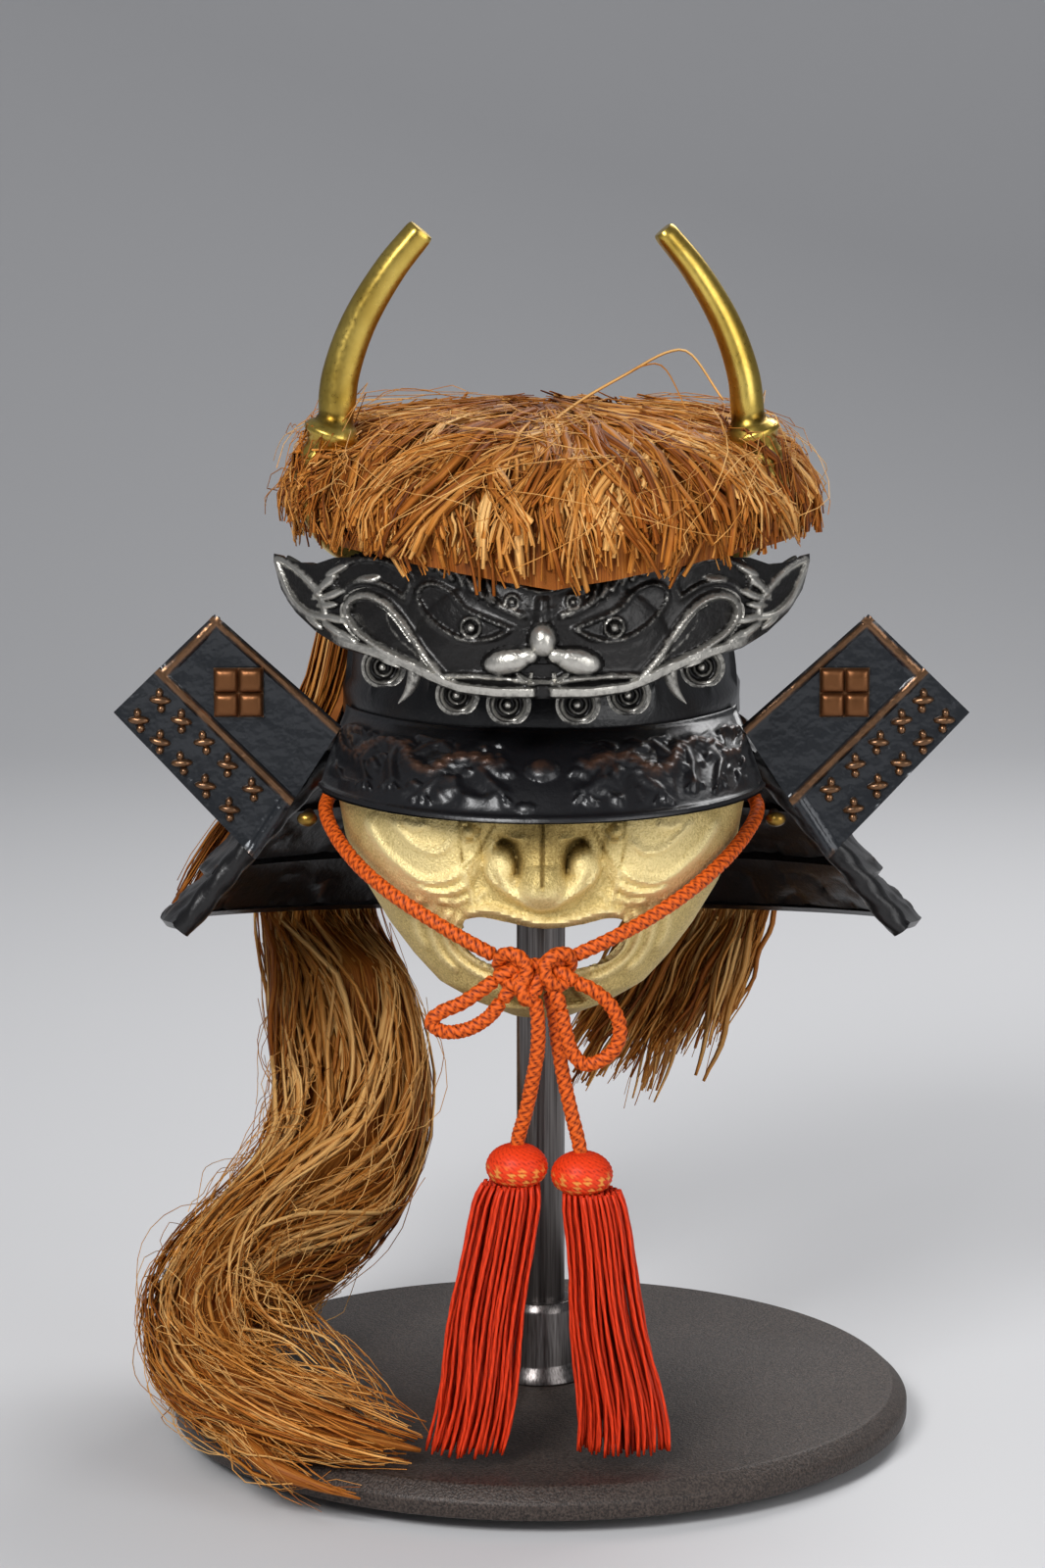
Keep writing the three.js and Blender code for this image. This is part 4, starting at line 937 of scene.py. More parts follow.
def crest_relief(x, z):
    half = np.abs(x)
    low = table_values(CREST_LOW, x)
    body = 3.6 * dome(x, z, 0, 238, 34, 21) + 1.6 * bell(z, 240, 18)
    sunk, bright, ridges = np.zeros(len(x)), np.zeros(len(x)), np.zeros(len(x))
    for outline, hollow, wall, width, tall, shine in (
        (CHEEK_LEAF, 2.6, 2.4, 1.25, 2.7, 0.95), (EYE_LOBE, 1.3, 2.0, 0.85, 1.1, 0.45),
        (EAR_LEAF, 2.2, 1.8, 1.3, 1.8, 1.0), (CROWN_LOBE, 1.2, 1.8, 1.0, 1.3, 0.4),
    ):
        deep, distance = leaf_shape(half, z, outline, hollow, wall)
        rim = np.exp(-((distance / width) ** 2))
        sunk, ridges = np.maximum(sunk, deep), np.maximum(ridges, tall * rim)
        bright = np.maximum(bright, shine * rim)
    vein = stroke(half, z, drawn(LEAF_VEIN), 0.8, 0.3)[0]
    brow = stroke(half, z, drawn(BROW), 1.3, 0.3)[0]
    for cx, cz, length, width, slope in MANE:
        lock = dome(half, z, cx, cz, length, width, slope)
        ridges = np.maximum(ridges, 2.3 * lock)
        bright = np.maximum(bright, 1.0 * lock ** 0.7)
    for route in COMB_LINES:
        comb = stroke(half, z, route, 0.95, 0.4)[0]
        ridges, bright = np.maximum(ridges, 1.9 * comb), np.maximum(bright, 0.6 * comb)
    band = smooth_step(0, 0.9, z - low) * smooth_step(3.9, 2.7, z - low) * smooth_step(60, 52, half)
    band *= 1 - 0.85 * np.exp(-((x / 2.1) ** 4))
    ridges = np.maximum(ridges, 2.4 * band)
    bright = np.maximum(bright, band * (0.75 + 0.25 * smooth_step(0.8, 2.6, z - low)))
    smile = stroke(half, z, drawn(SMILE), 0.9)[0] * (low < z + 0.9)
    ridges, bright = np.maximum(ridges, 1.8 * smile), np.maximum(bright, 0.8 * smile)
    eye_distance = np.hypot(half - 18.8, z - 244.0)
    eye = 1.3 * bell(eye_distance, 2.5, 0.45) + 2.3 * dome(half, z, 18.8, 244.0, 1.35, 1.35)
    eye_bright = 0.75 * bell(eye_distance, 2.5, 0.5) + 0.8 * dome(half, z, 18.8, 244.0, 1.2, 1.2)
    dot_distance = np.hypot(half - 8, z - 251.0)
    eyelet = 1.1 * bell(dot_distance, 1.7, 0.4) + 1.1 * dome(half, z, 8, 251.0, 0.8, 0.8)
    frown = stroke(x, z, drawn([(-9, 257), (-5, 254.8), (0, 253.8), (5, 254.8), (9, 257)]), 0.6)[0]
    folds = 0.5 * bell(np.hypot(x / 1.5, z - 262), 13, 0.8)
    knob = 6.4 * dome(x, z, 0, 241.4, 3.9, 4.9) ** 0.85
    bridge = 2.8 * stroke(x, z, [(0, 244), (0, 251)], 3.0, 0.3)[0]
    pads = 5.2 * dome(half, z, 9.2, 235.6, 6.9, 3.7, -0.22) ** 0.75
    pads = np.maximum(pads, 4.6 * dome(half, z, 4.2, 237.2, 3.6, 2.6) ** 0.8)
    mouth = 2.4 * dome(x, z, 0, 232.4, 6.4, 2.4)
    lip = 1.8 * stroke(x, z, drawn([(-6.4, 231.9), (-3.4, 230.4), (0, 229.9), (3.4, 230.4), (6.4, 231.9)]), 0.65)[0]
    height = body - sunk - mouth + np.maximum(ridges, 1.3 * vein)
    height = np.maximum(height, body * 0.9 + np.maximum(knob, pads))
    height = np.maximum(height, bridge + body * 0.8)
    height += np.maximum.reduce([eye, eyelet, lip, 1.1 * frown, folds, 1.5 * brow])
    bright = np.maximum.reduce([
        bright, 0.55 * vein, 0.5 * brow, eye_bright, 0.7 * eyelet, lip / 1.9, 0.55 * frown,
        1.05 * smooth_step(2.2, 5.4, knob), 1.0 * smooth_step(1.8, 4.6, pads), 0.3 * bridge / 2.8,
    ])
    side = smooth_step(74.5, 66, half) * 0.5 + 0.5
    return height * side, bright


def crest_shape(across, up):
    x = (across * 2 - 1) * CREST_HALF_WIDTH
    low, high = table_values(CREST_LOW, x), table_values(CREST_HIGH, x)
    z = low + (high - low) * up
    height, bright = crest_relief(x, z)
    height = height * smooth_step(268, 258, z)
    height += 0.16 * lumps(x / 1.5 + 50, z / 1.5, 21) + 0.35 * lumps(x / 4.2 + 50, z / 4.2, 22)
    side = x / CREST_HALF_WIDTH
    spread = 0.45 * side * height
    return np.column_stack([x + spread * 0.3, crest_depth(x) - height, z]), bright


def tapered_tube(route, radius_at, steps, sides, **values):
    line = smooth_route(route, 0.5)
    keep = np.linspace(0, len(line) - 1, steps).round().astype(int)
    line = line[keep]
    angles = np.arange(sides) * 2 * math.pi / sides
    way = np.linspace(0, 1, steps)
    reach = radius_at(way[:, None], angles[None, :]) * np.ones((steps, sides))
    arms = arms_round(angles, *carried_frames(line))
    points, faces = joined_tubes((line[:, None] + arms * reach[..., None])[None])
    given = {key: value(way[:, None], angles[None, :]) * np.ones((steps, sides)) for key, value in values.items()}
    return mesh_from_arrays("tube", points, faces, **given)


def pendant_curl(side, x, z, radius):
    """A disc with a raised rim, a ring and a boss, like a curl of the lion's beard."""
    bpy.ops.mesh.primitive_grid_add(x_subdivisions=40, y_subdivisions=12, size=2)
    curl = bpy.context.object
    grid = read_points(curl)
    turn = grid[:, 0] * math.pi
    way = (grid[:, 1] + 1) / 2
    spiral = way - 0.05 * np.sin(turn)
    height = 1.9 * bell(spiral, 0.86, 0.1) + 1.5 * bell(spiral, 0.46, 0.09)
    height += 1.9 * np.sqrt(np.clip(1 - (way / 0.24) ** 2, 0, 1))
    height *= smooth_step(1.0, 0.93, way) * 0.5 + 0.5
    points = np.column_stack([
        side * x + radius * way * np.sin(turn), crest_depth(x) + 0.3 - height, z + radius * way * np.cos(turn),
    ])
    write_points(curl, points * mm)
    set_values(curl, relief=height / 2.0)
    edit_all((bpy.ops.mesh.remove_doubles, {"threshold": 0.005 * mm}), ALIGN_FACES)
    if curl.data.polygons[len(curl.data.polygons) // 2].normal.y > 0:
        edit_all(FLIP_FACES)
    apply_modifier(curl, "SOLIDIFY", thickness=2.4 * mm, offset=-1, use_even_offset=False)
    return curl


crest = sculpted_wall(270, 76, crest_shape, CREST_WALL, (0, 0, 240))
crest_extras = []
for side in (-1, 1):
    for x, z, radius in CURL_PLACES:
        crest_extras.append(pendant_curl(side, x, z, radius))
    fang = [(side * 33.6, crest_depth(33.6) - 0.6, 232.6), (side * 34.4, crest_depth(34) - 1.8, 228.6),
            (side * 36, crest_depth(36) - 1.6, 225), (side * 38.6, crest_depth(38) - 0.6, 221.8)]
    crest_extras.append(tapered_tube(
        fang, lambda way, turn: 2.2 * (1 - way) ** 0.8 + 0.12, 18, 12, relief=lambda way, turn: 0.5 + 0.5 * way,
    ))
stub = cylinder(6.0, -8.0, 8.0, 32)
peg = read_points(stub) / mm
stub_points = np.column_stack([peg[:, 0], -74.5 + peg[:, 2] * 1.5, 241 + peg[:, 1] * 0.66])
write_points(stub, stub_points * mm)
edit_all(ALIGN_FACES)
join(crest, crest_extras + [stub])
silver_rub = rubbed(
    "silver_over_black", (0.0075, 0.0065, 0.006), (0.56, 0.54, 0.49), 0.3, 1.02, 520.0, 1.15,
    (0.36, 0.36), (0.45, 0.95), (1000.0, 0.5, 0.0004), 0.2,
)
finish_piece(crest, "lion_crest", silver_rub, "silvered_iron", "crest_plate")

# ---------------------------------------------------------------- horns
# Two cast horns in satin gold, ribbed along their length, ringed above the foot and pegged into the bowl.
HORN_ROUTE = [
    (45.4, -24, 257), (51.5, -31, 259.5), (58, -40, 265.5), (61.5, -46, 275), (60, -49, 285), (56.3, -50, 295),
    (54.5, -51, 308), (49.6, -52, 322), (41, -54, 336.5), (32.4, -55, 347.2),
]


def horn_radius(way, turn):
    rings = 2.8 * bell(way, 0.462, 0.027) + 1.2 * bell(way, 0.4, 0.014) + 1.4 * bell(way, 0.34, 0.016)
    flats = (0.38 * np.cos(2 * turn) + 0.16 * np.cos(4 * turn + 1.2)) * smooth_step(0.47, 0.56, way)
    waist = 0.45 * bell(way, 0.5, 0.02) + 0.5 * smooth_step(0.99, 1.0, way)
    return 5.3 - 1.8 * way ** 2 + rings + flats - waist


satin_gold, tree, shader = new_finish("satin_gold_plate")
place = object_place(tree)
relief = add(tree, "ShaderNodeAttribute", attribute_name="relief")
drift = noise(tree, place, 60.0, 4.0)
fine = noise(tree, place, 900.0, 3.0)
shade = ramp(tree, drift, "Fac", (0.3, (0.50, 0.33, 0.055)), (0.7, (0.80, 0.60, 0.15)))
deep = add(tree, "ShaderNodeMix", data_type="RGBA")
deep.inputs["A"].default_value = (0.16, 0.09, 0.012, 1)
wire(tree, relief, "Fac", deep, "Factor")
wire(tree, shade, "Color", deep, "B")
wire(tree, deep, "Result", shader, "Base Color")
gloss = to_range(tree, fine, "Fac", 0.3, 0.7, 0.26, 0.4)
wire(tree, gloss, "Result", shader, "Roughness")
bumped(tree, shader, fine, "Fac", 0.07, 0.0002)
shader.inputs["Metallic"].default_value = 1.0

for name, side, twist in (("left", -1, 3.77), ("right", 1, 1.38)):
    route = [(side * x, y, z) for x, y, z in HORN_ROUTE]
    horn = tapered_tube(
        route, lambda way, turn: horn_radius(way, turn - twist), 170, 40,
        relief=lambda way, turn: 0.8 + 0.2 * np.cos(4 * turn + 1.2) - 0.75 * bell(way, 0.5, 0.014),
    )
    finish_piece(horn, "horn_" + name + "_gilt", satin_gold, "satin_gold", "horn_" + name)

# ---------------------------------------------------------------- neck guard
# Four lapped iron lames that flare round the neck, with rolled front ends. Their outer face is cast with
# clouds and waves, and rubbed to brown on the raised parts; the inner face is plain black.
GUARD = {"top": 206.0, "bottom": 147.0, "tilt": 12.5, "ends": -27.0, "centre_y": 2.0, "wall": 2.6, "lames": 4,
         "lap": 2.0, "roll": 3.4, "half_width": (59.0, 108.0), "half_depth": (68.0, 93.0)}


def guard_halves(down):
    """Half the guard's width and depth, from 0 at its top edge to 1 at its lower edge."""
    (top_width, width), (top_depth, depth) = GUARD["half_width"], GUARD["half_depth"]
    return top_width + (width - top_width) * down ** 0.9, top_depth + (depth - top_depth) * down


def guard_place(across, down, lift):
    half_width, half_depth = guard_halves(down)
    reach = np.arccos((GUARD["ends"] - GUARD["centre_y"]) / half_depth)
    angle = (across * 2 - 1) * reach
    bottom = GUARD["bottom"] - GUARD["tilt"] * np.cos(angle)
    return np.column_stack([
        (half_width + lift) * np.sin(angle), GUARD["centre_y"] + (half_depth + lift) * np.cos(angle),
        GUARD["top"] + (bottom - GUARD["top"]) * down + lift * 0.4,
    ])


def guard_shape(across, up):
    down = 1 - up
    lame = np.minimum(down * GUARD["lames"], GUARD["lames"] - 1e-6)
    within = lame % 1
    step = GUARD["lap"] * np.clip(within / 0.94, 0, 1) * smooth_step(1.0, 0.955, within)
    around = (across * 2 - 1) * 210
    clouds = lumps(around / 5.5 + 50, down * 13, 31) + 0.5 * lumps(around / 2.4 + 80, down * 30, 32)
    clouds = np.clip(clouds - 0.72, 0, 1)
    carved = 1.9 * clouds * smooth_step(0.06, 0.2, within) * smooth_step(0.96, 0.8, within)
    edge = 0.5 * bell(within, 0.9, 0.04)
    lift = step + carved + edge
    return guard_place(across, down, lift), carved / 1.3 + 0.45 * edge


guard = sculpted_wall(210, 52, guard_shape, GUARD["wall"], (0, 0, 175))
rolls = []
for across in (0.0, 1.0):
    downs = np.array([0.1, 0.3, 0.5, 0.7, 0.85, 1.0])
    route = guard_place(np.full(6, across), downs, np.full(6, -1.0))
    rolls.append(tapered_tube(
        [tuple(point) for point in route],
        lambda way, turn: GUARD["roll"] * (1 - 0.25 * smooth_step(0.94, 1, way)) + 0.25 * np.sin(way * 40 + 3 * turn),
        60, 20, relief=lambda way, turn: 0.08 + 0.12 * np.sin(way * 31 + turn),
    ))
join(guard, rolls)
guard_rub = rubbed(
    "black_lames", (0.0065, 0.006, 0.0065), (0.085, 0.042, 0.026), 0.5, 1.2, 220.0, 0.9,
    (0.36, 0.42), (0.3, 0.6), (700.0, 0.5, 0.0004), 0.2,
)
finish_piece(guard, "lapped_neck_guard", guard_rub, "black_iron", "neck_guard")

# ---------------------------------------------------------------- cheek plates
# The turned-back ends of the neck guard: blue-black plates with copper strips along three edges and across
# the panel. Ten small lacing knots sit in two rows below the divider.
PLATE_CORNERS = {"top": (90.4, 241.2), "outer": (118.8, 213.8), "bottom": (79.8, 172.3), "inner": (55.5, 209.8)}
PLATE_BACK, PLATE_WALL, PLATE_BORDER = -31.8, 3.0, 1.1
DIVIDER = 0.57
KNOT_PLACES = [(105.8, 217.2), (100.0, 211.4), (93.7, 205.4), (87.3, 199.0), (80.4, 192.2),
               (111.8, 211.6), (106.0, 205.6), (100.0, 199.6), (93.5, 193.2), (86.9, 186.6)]


def plate_lines(*bands):
    """Places for grid lines from 0 to 1 that are close together along each raised band."""
    lines = {0.0, 1.0}
    for low, high in bands:
        for edge, way in ((low, 1), (high, -1)):
            lines |= {edge - 0.004 * way, edge + 0.008 * way, edge + 0.02 * way}
        lines.add((low + high) / 2)
    lines |= set(np.linspace(0, 1, 22))
    kept = sorted(line for line in lines if 0 <= line <= 1)
    return np.array([line for index, line in enumerate(kept) if index == 0 or line - kept[index - 1] > 0.0035])


def band_height(place, low, high):
    return smooth_step(low - 0.004, low + 0.02, place) * smooth_step(high + 0.004, high - 0.02, place)


def plate_grid(side):
    u_lines = plate_lines((0.005, 0.07), (DIVIDER - 0.035, DIVIDER + 0.035))
    v_lines = plate_lines((0.005, 0.07), (0.93, 0.995))
    bpy.ops.mesh.primitive_grid_add(x_subdivisions=len(u_lines) - 1, y_subdivisions=len(v_lines) - 1, size=2)
    plate = bpy.context.object
    grid = read_points(plate)
    u = np.interp((grid[:, 0] + 1) / 2, np.linspace(0, 1, len(u_lines)), u_lines)
    v = np.interp((grid[:, 1] + 1) / 2, np.linspace(0, 1, len(v_lines)), v_lines)
    corners = {key: np.array(value, dtype=float) for key, value in PLATE_CORNERS.items()}
    near = corners["top"] + (corners["outer"] - corners["top"]) * u[:, None]
    far = corners["inner"] + (corners["bottom"] - corners["inner"]) * u[:, None]
    flat = near + (far - near) * v[:, None]
    long_edge = band_height(u, 0.005, 0.07)
    divider = band_height(u, DIVIDER - 0.035, DIVIDER + 0.035)
    upper = band_height(v, 0.005, 0.07) * (u < DIVIDER)
    lower = band_height(v, 0.93, 0.995) * (u > DIVIDER)
    raised = np.maximum.reduce([long_edge, divider, upper, lower])
    copper_here = np.maximum.reduce([long_edge, divider, upper, 0.25 * lower])
    rim = 0.35 * smooth_step(0.985, 1.0, u)
    height = PLATE_BORDER * raised * (0.9 + 0.1 * lumps(flat[:, 0] / 3, flat[:, 1] / 3, 5)) + rim
    height += 0.3 * lumps(flat[:, 0] / 6, flat[:, 1] / 6, 8)
    height -= 0.25 * (1 - copper_here) * dome(u, v, 0.3, 0.5, 0.3, 0.6)
    height += 0.35 * (1 - raised) * lumps(u * 5, v * 7, 9)
    points = np.column_stack([side * flat[:, 0], PLATE_BACK - PLATE_WALL - height, flat[:, 1]])
    write_points(plate, points * mm)
    set_values(plate, relief=copper_here + 0.35 * smooth_step(0.97, 1.0, u))
    return plate


def facing_front(piece):
    edit_all(ALIGN_FACES)
    count = len(piece.data.polygons)
    normals = np.empty(count * 3)
    piece.data.polygons.foreach_get("normal", normals)
    if normals.reshape(-1, 3)[:, 1].mean() > 0:
        edit_all(FLIP_FACES)


def small_ball(place, radii, segments=12, rings=8):
    bpy.ops.mesh.primitive_uv_sphere_add(segments=segments, ring_count=rings, radius=mm, location=metres(place))
    ball = bpy.context.object
    ball.scale = radii
    bpy.ops.object.transform_apply(location=True, rotation=True, scale=True)
    return ball


def lacing_knot(side, x, z, lean):
    """A fat cross turn of cord with its loop above and its end below."""
    front = PLATE_BACK - PLATE_WALL
    parts = [
        small_ball((0, front - 0.7, 0), (3.1, 1.7, 1.25), 20, 10),
        small_ball((0.4, front - 0.4, 1.9), (1.15, 1.5, 1.5), 12, 8),
        small_ball((-0.5, front - 0.5, -2.4), (1.25, 1.5, 1.3), 12, 8),
    ]
    knot = parts[0]
    join(knot, parts[1:])
    points = read_points(knot) / mm
    cosine, sine = math.cos(lean), math.sin(lean)
    turned = np.column_stack([
        side * (x + points[:, 0] * cosine - points[:, 2] * sine), points[:, 1],
        z + points[:, 0] * sine + points[:, 2] * cosine,
    ])
    write_points(knot, turned * mm)
    if side < 0:
        edit_all(FLIP_FACES)
    set_values(knot, relief=np.full(len(knot.data.vertices), 1.1))
    return knot


blue_black = rubbed(
    "blue_black_and_copper", (0.012, 0.0145, 0.0185), (0.17, 0.083, 0.036), 0.3, 1.05, 340.0, 0.8,
    (0.24, 0.3), (0.45, 0.9), (130.0, 0.8, 0.0016), 0.4,
)
for name, side in (("right", 1), ("left", -1)):
    plate = plate_grid(side)
    facing_front(plate)
    apply_modifier(plate, "SOLIDIFY", thickness=PLATE_WALL * mm, offset=-1, use_even_offset=False)
    knots = []
    for index, (x, z) in enumerate(KNOT_PLACES):
        knots.append(lacing_knot(side, x, z, 0.14 * math.sin(index * 2.4) + 0.1))
    join(plate, knots)
    finish_piece(plate, "cheek_plate_" + name + "_laced", blue_black, "black_iron", "cheek_plate_" + name)

# ---------------------------------------------------------------- emblems
# A small copper casting on each cheek plate: four plump square cushions with brighter seams between them; the lighter
# edges and seams are a painted highlight.
EMBLEM_SIZE, EMBLEM_CENTRE = 13.8, (84.0, 219.4)
dark_copper, tree, shader = new_finish("dark_copper")
place = object_place(tree)
relief = add(tree, "ShaderNodeAttribute", attribute_name="relief")
drift = noise(tree, place, 180.0, 4.0)
fine = noise(tree, place, 900.0, 3.0)
# Painted highlight: the ramp is lightest where the cushions fall to their edges and seams, and darkest on their
# slopes.
shade = ramp(
    tree, relief, "Fac", (0.0, (0.30, 0.17, 0.09)), (0.35, (0.12, 0.046, 0.017)), (1.0, (0.165, 0.066, 0.023)),
)
wire(tree, shade, "Color", shader, "Base Color")
gloss = to_range(tree, drift, "Fac", 0.3, 0.7, 0.3, 0.45)
wire(tree, gloss, "Result", shader, "Roughness")
bumped(tree, shader, fine, "Fac", 0.2, 0.0003)
shader.inputs["Metallic"].default_value = 0.8
for name, side in (("right", 1), ("left", -1)):
    bpy.ops.mesh.primitive_grid_add(x_subdivisions=36, y_subdivisions=36, size=2)
    emblem = bpy.context.object
    grid = read_points(emblem)
    u, v = grid[:, 0], grid[:, 1]
    inside_u, inside_v = np.abs(np.abs(u) - 0.5) * 2, np.abs(np.abs(v) - 0.5) * 2
    cushion = np.clip(1 - inside_u ** 4, 0, 1) ** 0.5 * np.clip(1 - inside_v ** 4, 0, 1) ** 0.5
    points = np.column_stack([
        side * EMBLEM_CENTRE[0] + u * EMBLEM_SIZE / 2, PLATE_BACK - PLATE_WALL - 1.0 - 2.0 * cushion,
        EMBLEM_CENTRE[1] + v * EMBLEM_SIZE / 2,
    ])
    write_points(emblem, points * mm)
    set_values(emblem, relief=cushion)
    facing_front(emblem)
    apply_modifier(emblem, "SOLIDIFY", thickness=1.4 * mm, offset=-1, use_even_offset=False)
    finish_piece(emblem, "emblem_" + name + "_cushions", dark_copper, "copper", "emblem_" + name)

# ---------------------------------------------------------------- rivets
# A flattened oval rivet, gold on its front and dark brown towards its edges, pins each end of the visor to the guard.
RIVET_PLACE, RIVET_RADII = (65, -40, 184.5), (2.9, 2.2, 2.1)
old_gilt = rubbed(
    "old_gilt", (0.035, 0.018, 0.007), (0.34, 0.20, 0.04), 0.1, 1.2, 420.0, 1.0,
    (0.4, 0.3), (0.7, 1.0), (600.0, 0.4, 0.0003),
)
for name, side in (("right", 1), ("left", -1)):
    x, y, z = RIVET_PLACE
    rivet = small_ball((side * x, y, z), RIVET_RADII, 32, 20)
    shank = cylinder(1.6, 0.0, 9.0, 24)
    pin = read_points(shank) / mm
    write_points(shank, np.column_stack([side * x + pin[:, 0], y + pin[:, 2], z + pin[:, 1]]) * mm)
    edit_all(ALIGN_FACES)
    join(rivet, [shank])
    height = (y - read_points(rivet)[:, 1] / mm) / RIVET_RADII[1]
    set_values(rivet, relief=np.clip(height, 0, 1))
    finish_piece(rivet, "rivet_" + name + "_domed", old_gilt, "satin_gold", "rivet_" + name)

# ---------------------------------------------------------------- half mask
# A stylised half mask of no one in particular, as armourers cast it: a broad split nose, arched folds on the
# cheeks and jaw, a raised lip, an open mouth and a sunk panel under the chin. It has a matt sandy gold finish.
MASK_SECTIONS = [
    (134, 9, -67, -59), (138, 19, -73, -57), (143, 28.5, -76, -54), (150, 35.5, -77.5, -50),
    (158, 42, -78.5, -46), (168, 48.5, -79, -42), (180, 54, -80, -38), (196, 57, -81, -35),
]
MASK_WALL = 2.0
MOUTH = [
    (-20.8, 163.2), (-17, 164.2), (-10, 163.3), (0, 161.6), (10, 162.4), (18, 163.8), (22, 162.8), (22.8, 158),
    (21.6, 154.6), (18.4, 151.8), (11, 150.2), (0, 149.6), (-11, 150.2), (-17.6, 152.2), (-21, 155.2), (-22, 159.4),
]
# Folds and rims as x and z along each, with half their width and their height.
NOSE_WING = [(5.6, 186.4), (8.4, 186.6), (12, 185.0), (14.6, 181.6), (15, 177.6), (13.2, 174.4), (9.6, 172.4),
             (6.2, 170.4), (3, 168.2), (0, 167.4)]
FOLDS = [
    ([(41.4, 190), (37.6, 186.2), (34, 183.4), (30.4, 182.2), (26.8, 182.6), (24, 186)], 0.95, 1.7),
    ([(48.6, 190), (46.4, 185.4), (42.6, 180.6), (39, 177.8), (35.2, 175.2), (31, 173.8), (27.4, 174.2),
      (23.4, 175.8), (20.4, 178.4)], 1.15, 2.3),
    ([(38, 189.6), (34.5, 188.2), (30.6, 189.6)], 0.9, 1.2),
    ([(34.6, 173), (31.2, 171.2), (26.8, 170.8), (22.6, 171.8), (19.8, 174.2)], 0.9, 1.7),
    ([(28.4, 168.6), (25, 167.8), (22, 168.4), (19.6, 170.2)], 0.8, 1.3),
    ([(21, 165.4), (23.4, 162), (23.2, 157.6), (20.8, 153.6), (17, 151), (10, 149), (3, 148.4)], 0.8, 1.5),
    ([(24.4, 166.4), (26.4, 162), (26, 157), (23.2, 152), (17.6, 148), (11, 146)], 0.95, 1.6),
    ([(28.6, 168), (30.2, 162.6), (29.6, 157), (27, 151.6), (22, 147.2)], 0.95, 1.5),
    ([(33, 169.6), (34.4, 163.6), (33.6, 157.6), (31, 152.6)], 1.0, 1.3),
    ([(16.8, 182.4), (19.8, 179.2), (20.4, 174.8), (19, 170.4), (19.4, 166.4)], 0.8, 1.1),
    ([(15, 172), (17, 169.4), (17.8, 166.8)], 0.7, 0.8),
]
SEAMS = [[(22.4, 190.5), (22.2, 184), (21.4, 179.8)], [(13, 189.6), (16.6, 182.4), (21, 178)]]


def mask_front(x, z):
    half = np.abs(x)
    bridge = np.where(z < 173, bell(z, 173, 5.0), 0.55 + 0.45 * smooth_step(196, 173, z))
    nose = 7.6 * np.exp(-np.abs(x / 7.6) ** 2.6) * bridge
    tip = 3.0 * dome(x, z, 0, 173.6, 8.5, 6.2)
    wing = 5.6 * dome(half, z, 10.9, 178.4, 4.4, 5.4, 0.25) ** 0.75
    under_wing = drawn([(11.4, 177.6), (9.6, 174.6), (5.6, 171.8), (0, 170.6)])
    wing = np.maximum(wing, 6.2 * stroke(half, z, under_wing, 3.1)[0])
    wing_line = 1.2 * stroke(half, z, drawn(NOSE_WING), 0.75)[0]
    nostril, _ = stroke(half, z, drawn([(10.4, 184.4), (8.4, 183.2), (6.9, 180.4), (6.6, 177)]), 1.9, 0.6)
    groove = stroke(x, z, [(0, 197), (0, 175)], 0.5)[0]
    drop = bell(np.hypot(x, z - 174.3), 1.0, 0.4)
    pout = 3.4 * bell(half, 0, 24) * bell(z, 166, 9)
    cheek = 3.6 * dome(half, z, 33, 181, 17, 15) + 2.0 * bell(half, 32, 10) * bell(z, 176, 10)
    chin = 2.6 * bell(x, 0, 16) * bell(z, 146, 9)
    lip_line = [(-19.6, 165.6), (-16.2, 166.6), (-12, 166.3), (-6, 164.8), (0, 163.5), (7, 164), (13, 165.4),
                (17.4, 166.2), (20.6, 165.4)]
    lip = 2.6 * stroke(x, z, drawn(lip_line), 1.25)[0]
    folds = np.zeros(len(x))
    for route, width, tall in FOLDS:
        ridge, way = stroke(half, z, drawn(route), width * 1.15)
        folds = np.maximum(folds, tall * ridge * smooth_step(0, 0.12, way) * smooth_step(1, 0.86, way))
    seams = np.maximum.reduce([stroke(half, z, route, 0.35)[0] for route in SEAMS])
    stud_distance = np.hypot(half - 19.5, (z - 187.8) * 1.15)
    stud = 1.6 * dome(half, z, 19.5, 187.8, 2.0, 1.8)
    stud += 0.9 * bell(stud_distance, 2.9, 0.4) - 0.8 * bell(stud_distance, 2.2, 0.3)
    panel_half = np.interp(z, [138.6, 153], [13.0, 4.0])
    panel = smooth_step(panel_half, panel_half - 1.6, half) * smooth_step(138.8, 140.2, z) * smooth_step(154, 152, z)
    chin_rim = 1.1 * bell(z, 137.6, 1.0) * bell(x, 0, 15)
    height = np.maximum(nose + tip, wing) + pout + cheek + chin + chin_rim
    height += np.maximum(np.maximum(folds, lip), np.maximum(wing_line, stud))
    height -= 4.6 * nostril + 1.0 * groove + 0.5 * seams + 2.2 * panel - 0.8 * drop
    # The bright values are painted light and shade: the folds, lip, nose wings and cheeks are painted lighter as
    # highlights; the nostrils, nose groove, seams and chin panel darker as shade; and the top of the nose darker as
    # painted shadow under the visor.
    bright = 0.5 + 0.22 * np.maximum(folds, np.maximum(lip, wing_line)) + 0.06 * (wing + cheek)
    bright -= 0.75 * nostril + 0.6 * groove + 0.5 * seams + 0.5 * panel
    bright -= 0.35 * bell(x, 0, 7) * smooth_step(176, 186, z)
    return height, bright


